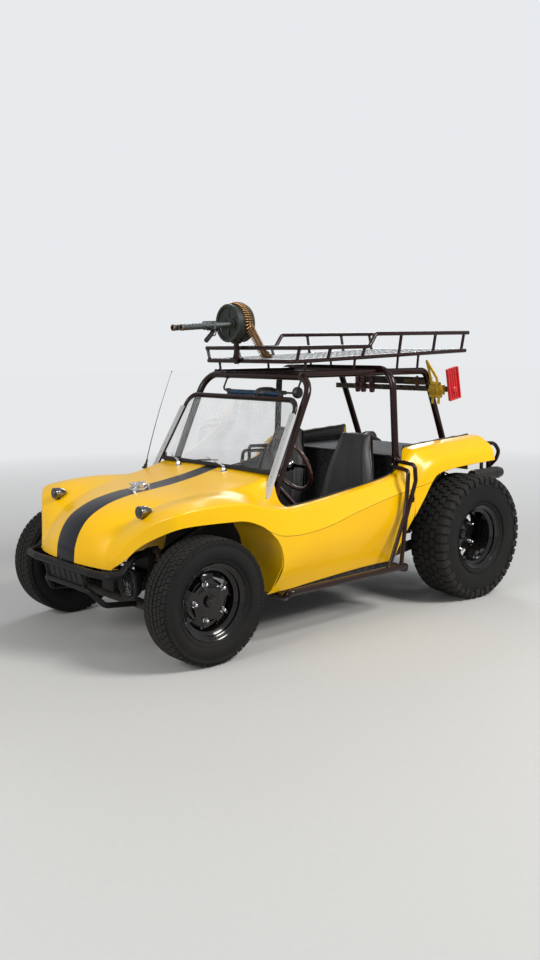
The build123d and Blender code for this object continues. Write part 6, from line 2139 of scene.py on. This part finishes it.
@dataclass
class Cabin:
    """Seats, steering wheel, mirror, dash, pedals, the levers' small parts and the rear walls' trim."""

    column_top: Point = (175.0, 330.0, 940.0)
    column_foot: Point = (1165.0, 300.0, 500.0)
    rim_radius: float = 175.0

    def make_steering_wheel(self) -> None:
        """Grip rim, spokes with dark discs of painted shade as drill holes, boss and horn button."""
        run = (Vector(self.column_top) - Vector(self.column_foot)).normalized()
        side = (Vector(ACROSS) - run * run.y).normalized()
        up = run.cross(side)
        place = Matrix.Translation(self.column_top) @ Matrix((side, up, run)).transposed().to_4x4()
        rim = Shape()
        ring = []
        for k in range(97):
            a = 2 * math.pi * k / 96
            row = []
            for p, q in circle(1.0, 14):
                r = 13.2 + 0.9 * math.cos(a * 24)
                out = self.rim_radius + p * r
                row.append(Vector((out * math.cos(a), out * math.sin(a), q * r)))
            ring.append(row)
        rim.grid(ring, closed=True)
        whole = rim.moved(place)
        whole.build("steering_rim", "hand_wheel", [WOOD], stands_for=("steering_wheel",), crease=60)
        metal = Shape()
        for turn in (0, 180, 270):
            spoke = Shape()
            spoke.plate(
                [(24, -17), (90, -12), (168, -15), (168, 15), (90, 12), (24, 17)],
                (0, 0, -7), AHEAD, ACROSS, 4.5, 1.0)
            metal.merge(spoke, Matrix.Rotation(math.radians(turn), 4, "Z"))
        metal.lathe([(30, -38), (32, -34), (32, -8), (42, -3), (42, 1), (38, 3), (0.1, 3)], ORIGIN, UP, 40)
        for k in range(6):
            a = math.pi / 3 * k
            metal.bolt((34 * math.cos(a), 34 * math.sin(a), 3), UP, 6)
        metal.lathe([(8, -96), (8, -38)], ORIGIN, UP, 16)
        metal.moved(place).build("steering_spokes", "hand_wheel", [DARK_CHROME], crease=32)
        button = Shape().lathe([(24, 2), (24, 9), (20, 13), (10, 15), (0.1, 15.5)], ORIGIN, UP, 36)
        # Drill holes in the spokes drawn as dark discs: painted shade where real holes would be
        for turn in (0, 180, 270):
            painted_hole_dots = Shape()
            for r in (62, 92, 122):
                painted_hole_dots.lathe([(9, -2.3), (7.5, -1.6), (0.1, -1.8)], (r, 0, 0), UP, 20)
            button.merge(painted_hole_dots, Matrix.Rotation(math.radians(turn), 4, "Z"))
        button.moved(place).build("horn_button_and_painted_holes", "hand_wheel", [GAUGE_AND_HOLE_SHADE], crease=40)

    def make_mirror(self) -> None:
        """The wide mirror on a cross rod that hangs from the hoop, with a knob at the near end, and blue
        patches of painted sky reflection on the case's front.
        """
        back = Shape()
        back.plate(soft_box(536, 60, 26, 6), (187, 29, 1352), ACROSS, UP, 21.0, 5.0)
        hung = ((-285, 0), (425, 0))
        (far, _), (near, _) = hung
        back.bar([(192, far, 1396), (190, far, 1374), (190, near, 1374), (192, near, 1396)], 6.5, 14, 14)
        for y, out in hung:
            route = [(192, y, 1392), (186, y, 1404), (180, y + out, 1416), (163, y + out, 1450)]
            back.bar(route, 6.0, 8, 12)
            back.band((157, y + out, 1471), ACROSS, 23, 26, 8)
            back.bolt((180, y + out, 1456), (0.9, 0, -0.4), 9)
        for y in (-240, 298):
            back.slab((182, y - 22, 1362), (198, y + 22, 1386), 4)
        profile = [(28, -18), (33, -12), (35, 0), (33, 12), (26, 20), (0.1, 22)]
        back.lathe(profile, (192, 425, 1378), ACROSS, 36)
        back.lathe([(72, -4), (70, 6), (58, 20), (36, 28), (0.1, 31)], (191, 136, 1374), UP, 44)
        back.build("mirror_case", "car", [MIRROR_BACK], stands_for=("mirror_bar",), crease=35)
        glass = Shape()
        glass.plate(soft_box(520, 48, 20, 6), (187.5, 29, 1352), (0, -1, 0), UP, 2.5, 0.6)
        # Painted reflection: blue patches on the case's front stand for glints of sky
        for y, width in ((-160, 92), (-50, 96), (40, 52), (96, 34), (200, 130)):
            glass.plate(soft_box(width, 26, 6, 4), (207.2, y, 1362), ACROSS, UP, 2.4, 0.8)
        glass.build("mirror_glass_and_sky_glints", "car", [MIRROR_GLASS_AND_SKY_GLINT], crease=35)

    def make_dash(self) -> None:
        """Gauges, switches and a grab rail, the pedals and hand brake, and the lever's boot and knob."""
        trim, faces = Shape(), Shape()
        x = 505.5
        for y, z, r in ((330, 868, 52), (222, 872, 30), (438, 872, 30), (120, 872, 30), (60, 872, 30)):
            profile = [(r, -1), (r + 4, 1), (r + 5, 6), (r + 2, 9), (r - 2, 8), (r - 3, 4)]
            trim.lathe(profile, (x, y, z), BACK, 40)
            faces.lathe([(r - 2, 4), (0.1, 4.2)], (x, y, z), BACK, 40)
            faces.plate(
                [(-1.2, -6), (1.2, -6), (0.5, r * 0.7), (-0.5, r * 0.7)], (x - 5.6, y, z), (0, 0.8, 0.6),
                (0, -0.6, 0.8), -1.0, 0.2)
        for k in range(5):
            trim.lathe([(6, 0), (6, 5), (3.4, 7), (2.6, 16), (0.1, 18)], (x, -60 - 48 * k, 862), BACK, 16)
        trim.bar([(x + 3, -240, 806), (x - 34, -252, 806), (x - 34, -438, 806), (x + 3, -450, 806)], 8.5, 20)
        trim.build("dash_trim", "car", [CHROME], crease=35)
        faces.build("gauge_faces", "car", [GAUGE_AND_HOLE_SHADE], crease=35)
        floor = Shape()
        for y, tilt in ((205, 0.0), (290, 0.0), (372, 0.2)):
            floor.bar([(596, y, 520), (560, y, 450), (548, y, 392)], 8.0, 30, 12)
            floor.plate(soft_box(54, 70, 8, 4), (540, y, 380), ACROSS, (0.4 + tilt, 0, 1), 8.0, 2.0)
        profile = [(40, 0), (36, 8), (30, 12), (26, 22), (24, 24), (18, 34), (16, 36), (10, 48)]
        floor.lathe(profile, (112, 0, 425.4), (-0.25, 0, 1), 32)
        floor.bar([(-60, 24, 428), (-40, 24, 460), (110, 24, 520)], 8.0, 20)
        floor.bar([(70, 24, 503), (128, 24, 527)], 12.0)
        floor.build("pedals_and_brake", "car", [AXLE], crease=35)
        knob = Shape()
        profile = [(6, -30), (12, -24), (20, -8), (23.5, 6), (21, 18), (12, 25), (0.1, 27)]
        knob.lathe(profile, (60, 0, 645), (-0.2, 0, 1), 36)
        knob.build("lever_knob", "car", [GAUGE_AND_HOLE_SHADE])

    def make_rear_walls(self) -> None:
        """The trim inside the rear fenders and the padded roll along its top."""
        step, rise = 26.5, 0.045
        trim = Shape()
        rows = []
        for k in range(25):
            x = -562 - step * k
            top = 1000 + (k * step) * rise
            section = ((588, 936), (579, 950), (577, 975), (580, top - 8), (588, top + 2), (600, top + 6))
            rows.append([Vector((x, y, z)) for y, z in section])
        trim.grid(rows).both_sides()
        trim.build("rear_wall_trim", "car", [VINYL], wall=3.0, crease=60)
        roll = Shape()
        for side in SIDES:
            path = []
            for k in range(26):
                path.append(
                    Vector((-560 - step * k, 589 * side, 1001 + k * step * rise + 1.5 * math.sin(k * 1.1))))
            roll.hose(path, [13.0 + 0.8 * math.sin(k * 2.1) for k in range(26)], 16, 0.8)
        roll.build("rear_wall_roll", "car", [VINYL], crease=60)

    def build(self) -> None:
        """Makes the cabin."""
        for side in Side:
            Seat(side).build()
        self.make_steering_wheel()
        self.make_mirror()
        self.make_dash()
        self.make_rear_walls()


@dataclass
class PowerUnit:
    """The flat engine, its shroud, pulleys and air cleaner, the silencers, and the rear lamps."""

    fan_z: float = 700.0
    crank_z: float = 420.0
    belt_x: float = -1496.0
    can_y: float = 592.0

    def make_case(self) -> None:
        """Crankcase, finned cylinders, heads and covers."""
        case, covers = Shape(), Shape()
        case.plate([
            (-150, 40), (-120, 0), (120, 0), (150, 40), (150, 250), (110, 330), (-110, 330), (-150, 250)],
            (-1476, 0, 305), ACROSS, UP, 342.0, 8.0)
        for k in range(6):
            case.slab((-1450 + 54 * k, -126, 298), (-1442 + 54 * k, 126, 308), 2)
        for side in SIDES:
            for x in (-1372, -1238):
                for k in range(9):
                    at = (x, (158 + 16 * k) * side, 440)
                    case.plate(soft_box(116, 124, 26, 4), at, AHEAD, DOWN if side > 0 else UP, 5.0, 1.0)
                case.lathe([(44, 0), (44, 150)], (x, 152 * side, 440), (0, side, 0), 28)
            low, high = span(side, 300, 336)
            case.slab((-1438, low, 372), (-1172, high, 508), 8)
            low, high = span(side, 336, 368)
            covers.slab((-1430, low, 366), (-1180, high, 430), 12)
            bail = (
                (-1400, 369, 372), (-1400, 374, 400), (-1305, 375, 410), (-1210, 374, 400),
                (-1210, 369, 372))
            covers.bar([(x, y * side, z) for x, y, z in bail], 3.0, 12, 8)
        case.build("engine_case", "car", [ENGINE], stands_for=("engine_block",), crease=32)
        covers.build("rocker_covers", "car", [CHROME], crease=35)

    def make_shroud(self) -> None:
        """The upright fan shroud with its fan guard, the pulleys and belt, and the air cleaner."""
        shroud = Shape()
        outline = [
            (-296, 0), (296, 0), (300, 60), (288, 190), (240, 262), (150, 308), (60, 326), (-60, 326),
            (-150, 308), (-240, 262), (-288, 190), (-300, 60)]
        shroud.plate(outline, (-1328, 0, 522), ACROSS, UP, 136.0, 12.0)
        profile = [
            (112, 0), (116, 4), (116, 40), (108, 52), (100, 54), (96, 48), (60, 50), (56, 58), (0.1, 60)]
        shroud.lathe(profile, (-1192, 0, self.fan_z), AHEAD, 48)
        for k in range(16):
            a = 2 * math.pi * k / 16
            c, s = math.cos(a), math.sin(a)
            spoke = [Vector((x, r * c, self.fan_z + r * s)) for x, r in ((-1139, 60), (-1138, 96))]
            shroud.hose(spoke, [3.0, 3.0], 8)
        shroud.slab((-1334, -250, 560), (-1326, 250, 572), 2)
        shroud.bar([(-1334, -120, 640), (-1350, -120, 700), (-1350, 120, 700), (-1334, 120, 640)], 9.0, 24)
        shroud.build("fan_shroud", "car", [SHROUD], crease=35)
        parts = Shape()
        profile = [
            (88, 0), (92, 2), (92, 6), (80, 12), (80, 18), (92, 26), (92, 30), (88, 32), (46, 32), (42, 26),
            (20, 26), (16, 34), (0.1, 34)]
        parts.lathe(profile, (-1480, 0, self.crank_z), BACK, 48)
        profile = [
            (60, 0), (64, 3), (64, 7), (54, 12), (54, 16), (64, 22), (60, 25), (22, 25), (18, 32), (0.1, 32)]
        parts.lathe(profile, (-1420, 0, self.fan_z), BACK, 40)
        parts.lathe([(52, 0), (52, 84), (46, 90), (0.1, 90)], (-1334, 0, self.fan_z), BACK, 36)
        parts.lathe([(26, 0), (26, 40), (34, 44), (34, 70), (24, 76)], (-1400, 0, 760), UP, 28)
        parts.build("engine_pulleys", "car", [ENGINE], crease=32)
        belt = Shape()
        path = []
        for middle, radius, start in ((self.crank_z, 84, math.pi), (self.fan_z, 58, 0.0)):
            for k in range(33):
                a = math.pi * k / 32 + start
                path.append(Vector((self.belt_x, radius * math.cos(a), middle + radius * math.sin(a))))
        path.append(path[0])
        belt.hose(path, [5.0] * len(path), 8, 0.1)
        belt.lathe([(64, 40), (66, 43), (66, 60), (60, 66)], (-1434, 0, self.fan_z), BACK, 36)
        belt.build("fan_belt", "car", [RUBBER])
        cleaner = Shape()
        profile = [
            (60, 0), (78, 3), (80, 8), (78, 13), (72, 14), (72, 40), (78, 41), (80, 46), (76, 51), (30, 56),
            (10, 57), (8, 64), (0.1, 65)]
        cleaner.lathe(profile, (-1400, 0, 822), UP, 48)
        cleaner.build("air_cleaner", "car", [CHROME], crease=35)

    def make_exhaust(self) -> None:
        """Silencer cans with bands, outlets and the pipes from the heads."""
        shape = Shape()
        for side in SIDES:
            profile = [
                (0.1, 0), (16, 0), (18, 4), (30, 8), (40, 14), (42, 22), (42, 60), (44, 62), (44, 70),
                (42, 72), (42, 250), (44, 252), (44, 262), (42, 264), (42, 300), (38, 308), (34, 312),
                (34, 330), (31, 333), (28, 330), (28, 290), (0.1, 288)]
            shape.lathe(profile, (-1255, self.can_y * side, 745), BACK, 40)
            for k in range(10):
                profile = [(24, 0), (28, 1.5), (24, 3)]
                shape.lathe(profile, (-1548 - 2.6 * k, self.can_y * side, 745), BACK, 30)
            pipe = ((372, 440), (480, 440), (self.can_y, 590), (self.can_y, 722))
            shape.bar([(-1300, y * side, z) for y, z in pipe], 22.0, 60, 20)
            shape.plate(
                soft_box(60, 92, 16, 4), (-1300, 376 * side, 440), AHEAD, DOWN if side > 0 else UP, 8.0, 2.0)
            for z in (476, 404):
                shape.bolt((-1300, 384 * side, z), (0, side, 0), 12)
            profile = [(22.5, 0), (25.5, 2), (25.5, 20), (22.5, 22)]
            shape.lathe(profile, (-1300, self.can_y * side, 676), UP, 24)
            low, high = span(side, 556, 572)
            shape.slab((-1420, low, 780), (-1396, high, 850), 3)
        shape.build("silencers", "car", [EXHAUST], stands_for=("exhaust",), crease=32)

    def make_lamps(self) -> None:
        """Rims and stepped lenses of the tail lamps."""
        rims, lenses = Shape(), Shape()
        for side in SIDES:
            at = (-1264, 420 * side, 868)
            rims.lathe([(43, 0), (46, 2), (46, 8), (43, 11), (39, 10), (38, 4)], at, BACK, 44)
            profile = [
                (39, 4), (38, 12), (34, 14), (32, 11), (28, 16), (24, 13), (19, 18), (14, 15), (8, 20),
                (0.1, 20.5)]
            lenses.lathe(profile, at, BACK, 44)
        rims.build("tail_lamp_rims", "car", [CHROME], crease=35)
        lenses.build("tail_lamp_lenses", "car", [LENS_RED], crease=50)

    def build(self) -> None:
        """Makes the engine and the tail."""
        self.make_case()
        self.make_shroud()
        self.make_exhaust()
        self.make_lamps()


# One bow of the tail guard, from the deck round the tail and down to the lower tube
GUARD_BOW = (
    (-1238, 530, 938), (-1400, 548, 962), (-1530, 580, 952), (-1571, 591, 895), (-1566, 570, 835),
    (-1557, 520, 782), (-1551, 502, 700),
)


@dataclass
class RunningGear:
    """Coil springs, boots, hoses, the tail guard's bows, frame welds and the whip aerial."""

    def coil(self, shape: Shape, foot: Point, head: Point, radius: float, turns: float, wire: float) -> None:
        """Adds a coil spring between two points."""
        a, b = Vector(foot), Vector(head)
        up = (b - a).normalized()
        side = up.orthogonal().normalized()
        other = up.cross(side)
        count = int(turns * 18)
        path = []
        for k in range(count + 1):
            t = k / count
            angle = 2 * math.pi * turns * t
            path.append(a.lerp(b, t) + (side * math.cos(angle) + other * math.sin(angle)) * radius)
        shape.hose(path, [wire] * len(path), 8)

    def build(self) -> None:
        """Makes the running gear's small parts."""
        springs, boots = Shape(), Shape()
        for side in SIDES:
            self.coil(springs, (1193, 466 * side, 340), (1241, 466 * side, 545), 27, 8, 4.6)
            self.coil(springs, (-986, 560 * side, 500), (-998, 560 * side, 850), 36, 9, 6.0)
            for x, z, axis in ((1241, 545, (0.24, 0, 1)), (1193, 340, (0.24, 0, 1))):
                springs.lathe([(14, -3), (33, -2), (34, 2), (14, 4)], (x, 466 * side, z), axis, 28)
            for z in (498, 852):
                profile = [(15, -4), (44, -3), (45, 2), (15, 5)]
                springs.lathe(profile, (-986 - (z - 498) * 0.034, 560 * side, z), (-0.034, 0, 1), 30)
            fold = []
            for k in range(7):
                fold += [(40, 12 * k), (54 - 1.4 * k, 12 * k + 6)]
            boots.lathe([*fold, (38, 88)], (-975, 150 * side, 403), (0, side, 0), 32)
            for z in (265, 415):
                profile = [(32, -40), (35, -38), (35, -30), (32, -28)]
                boots.lathe(profile, (1265, 440 * side, z), (0, side, 0), 28)
            hose = [
                (1150, 560 * side, 500), (1180, 530 * side, 560), (1200, 480 * side, 520),
                (1205, 452 * side, 470)]
            boots.bar(hose, 5.0, 20, 8)
        springs.build("coil_springs", "car", [SPRING])
        boots.build("boots_and_hoses", "car", [RUBBER])
        beads = Shape()
        for side in SIDES:
            for z in (850, 560):
                beads.weld((-1550, 500 * side, z), (0, side, 0), 17, 2.6)
            beads.weld((640, 822 * side, 305), AHEAD, 19.5, 2.4)
            for x in (-292, -180):
                beads.weld((x, 821 * side, 324), (-0.1, 0, 1), 13.5, 2.4)
            beads.bar([(x, y * side, z) for x, y, z in GUARD_BOW], 13.5, 60, 18)
            beads.weld((-1240, 530 * side, 938), (-1, 0.1 * side, 0.14), 13.5, 3.0)
        beads.build("guard_bows", "car", [FRAME])
        whip = Shape()
        foot, tip = Vector((649, -550, 876)), Vector((417, -550, 1492))
        run = (tip - foot).normalized()
        whip.lathe([(20, 0), (19, 8), (12, 14), (11, 30), (7, 34), (6, 60), (3.4, 66)], foot, run, 24)
        path = []
        for k in range(21):
            bow = math.sin(math.pi * k / 20)
            path.append(foot + (tip - foot) * (k / 20) + Vector((10 * bow, 0, 6 * bow)))
        whip.hose(path, [3.0 - 1.9 * k / 20 for k in range(21)], 10)
        whip.lathe([(0.1, 0), (3.5, 1), (3.5, 6), (0.1, 8)], tip, run, 12)
        whip.build("whip_aerial", "car", [RUBBER])


ASSEMBLIES = (
    Coachwork(), WheelSet(), Screen(), CageDress(), DrumRig(), JackDress(), NoseDress(), Cabin(),
    PowerUnit(), RunningGear())


CARRIED: dict[str, Finish] = {
    "rear_deck": DECK, "tail_panel": YELLOW, "dash_panel": DECK, "rear_bulkhead": DECK, "sill_bar": RUBBER,
    "floor_pan": DECK, "windscreen_glass": GLASS, "roll_cage": FRAME, "roof_rack": FRAME, "jack_beam": STEEL,
    "jack_body": RUNNER_YELLOW, "jack_foot": RED, "rocker_bars": FRAME, "side_braces": FRAME,
    "rear_axle": AXLE, "front_axle_beam": AXLE, "knuckle_left": AXLE, "knuckle_right": AXLE,
    "steering_box": AXLE, "pitman_arm": AXLE, "tie_rod_left": AXLE, "tie_rod_right": AXLE,
    "steering_column": AXLE, "front_bumper": SHROUD, "dampers": SPRING, "rear_guard": FRAME,
    "tail_lamps": LENS_RED, "gear_lever": DARK_CHROME, "fuel_filler": CHROME, "fuel_lid": CHROME,
    "windscreen_frame": FRAME, "rack_floor": PLATE, "roof_drum": DRUM, "link_belt": BRASS, "seats": VINYL,
    "mirror_bar": MIRROR_BACK, "engine_block": ENGINE, "exhaust": EXHAUST, "fender_lamps": DARK_CHROME,
    "headlamps": RUBBER, "steering_wheel": WOOD}


def dress_carried(finishes: dict[str, Finish]) -> None:
    """Gives every CAD node that still shows its finish and smooth shading.

    Args:
        finishes: The finish for each node's name.
    """
    for name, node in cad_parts.items():
        finish = finishes.get(name, AXLE)
        if name not in finishes:
            LOG.info("node %s has the default finish", name)
        node.data.materials.clear()
        node.data.materials.append(finish.material())
        for face in node.data.polygons:
            face.material_index = 0
        node.data.shade_smooth()
        node.data.set_sharp_from_angle(angle=math.radians(30))


@dataclass
class Studio:
    """Camera, floor and lamps."""

    place: Point = (4.144, 4.777, 1.701)
    yaw: float = -2.279
    pitch: float = -0.143
    roll: float = -0.013
    focal: float = 984.0
    long_side: float = 960.0
    sensor: float = 36.0
    floor_colour: Colour = (0.60, 0.60, 0.59)

    def make_camera(self) -> None:
        """The camera at the photograph's angle."""
        ahead = Vector((
            math.cos(self.yaw) * math.cos(self.pitch), math.sin(self.yaw) * math.cos(self.pitch),
            math.sin(self.pitch)))
        right = Vector((math.sin(self.yaw), -math.cos(self.yaw), 0.0))
        up = right.cross(ahead)
        c, s = math.cos(self.roll), math.sin(self.roll)
        right, up = right * c + up * s, up * c - right * s
        data = bpy.data.cameras.new("camera")
        data.sensor_width = self.sensor
        data.lens = self.focal / self.long_side * self.sensor
        camera = bpy.data.objects.new("camera", data)
        turn = Matrix((right, up, -ahead)).transposed()
        camera.matrix_world = Matrix.Translation(self.place) @ turn.to_4x4()
        bpy.context.scene.collection.objects.link(camera)
        bpy.context.scene.camera = camera

    def make_floor(self) -> None:
        """A plain pale floor that catches the shadow."""
        mesh = bpy.data.meshes.new("floor")
        mesh.from_pydata([(-40, -40, 0), (40, -40, 0), (40, 40, 0), (-40, 40, 0)], [], [(0, 1, 2, 3)])
        floor = bpy.data.objects.new("floor", mesh)
        made = bpy.data.materials.new("floor_pale")
        made.use_nodes = True
        wires = Wiring(made.node_tree)
        shader = made.node_tree.nodes["Principled BSDF"]
        place = wires.add("ShaderNodeTexCoord").outputs["Object"]
        fine = wires.noise(place, 30.0, 4.0)
        wires.put(shader.inputs["Base Color"], wires.mix(fine, self.floor_colour, (0.56, 0.56, 0.55)))
        shader.inputs["Roughness"].default_value = 0.85
        reach = wires.add("ShaderNodeVectorMath", {0: place}, operation="LENGTH")
        far = wires.ramp(reach.outputs["Value"], 2.6, 9.0)
        path = wires.add("ShaderNodeLightPath")
        seen = wires.math("MAXIMUM", path.outputs["Is Camera Ray"], path.outputs["Is Transmission Ray"])
        glow = wires.add("ShaderNodeEmission", {"Color": (0.80, 0.81, 0.82), "Strength": 1.0})
        blend = wires.add(
            "ShaderNodeMixShader",
            {0: wires.math("MULTIPLY", far, seen), 1: shader.outputs[0], 2: glow.outputs[0]})
        out = made.node_tree.nodes["Material Output"]
        made.node_tree.links.new(blend.outputs[0], out.inputs["Surface"])
        mesh.materials.append(made)
        bpy.context.scene.collection.objects.link(floor)

    def make_lamp(
        self, name: str, place: Point, target: Point, size: float, watts: float, colour: Colour) -> None:
        """One square soft lamp aimed at a point."""
        data = bpy.data.lights.new(name, "AREA")
        data.shape = "SQUARE"
        data.size = size
        data.energy = watts
        data.color = colour
        lamp = bpy.data.objects.new(name, data)
        aim = Vector(target) - Vector(place)
        lamp.location = place
        lamp.rotation_euler = aim.to_track_quat("-Z", "Y").to_euler()
        bpy.context.scene.collection.objects.link(lamp)

    def make_world(self) -> None:
        """Even pale surroundings that show in gloss, glass and behind the car."""
        world = bpy.data.worlds.new("studio")
        world.use_nodes = True
        wires = Wiring(world.node_tree)
        background = world.node_tree.nodes["Background"]
        path = wires.add("ShaderNodeLightPath")
        seen = wires.math("MAXIMUM", path.outputs["Is Camera Ray"], path.outputs["Is Transmission Ray"])
        gloss = wires.math("MULTIPLY", path.outputs["Is Glossy Ray"], 0.45)
        shown = wires.math("MAXIMUM", seen, gloss)
        wires.put(background.inputs["Color"], (0.86, 0.88, 0.90))
        wires.put(
            background.inputs["Strength"], wires.math("ADD", wires.math("MULTIPLY", shown, 0.58), 0.36))
        bpy.context.scene.world = world

    def build(self) -> None:
        """Makes the studio."""
        self.make_camera()
        self.make_floor()
        self.make_world()
        self.make_lamp("key", (-1.5, 5.6, 5.4), (0.1, 0.0, 0.6), 2.2, 430.0, (1.0, 0.975, 0.93))
        self.make_lamp("front", (6.5, 0.5, 3.6), (0.5, 0.0, 0.6), 3.0, 190.0, (1.0, 0.99, 0.97))
        self.make_lamp("back", (-5.0, -4.5, 4.2), (0.0, 0.0, 0.8), 3.0, 170.0, (0.94, 0.97, 1.0))
        bpy.context.scene.view_settings.view_transform = "Standard"


def main() -> None:
    """Builds the whole buggy and its studio."""
    logging.basicConfig(level=logging.INFO, format="%(message)s", stream=sys.stdout)
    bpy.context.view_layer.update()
    dress_carried(CARRIED)
    for part in ASSEMBLIES:
        LOG.info("building %s", type(part).__name__)
        part.build()
    Studio().build()


if __name__ == "__main__":
    main()
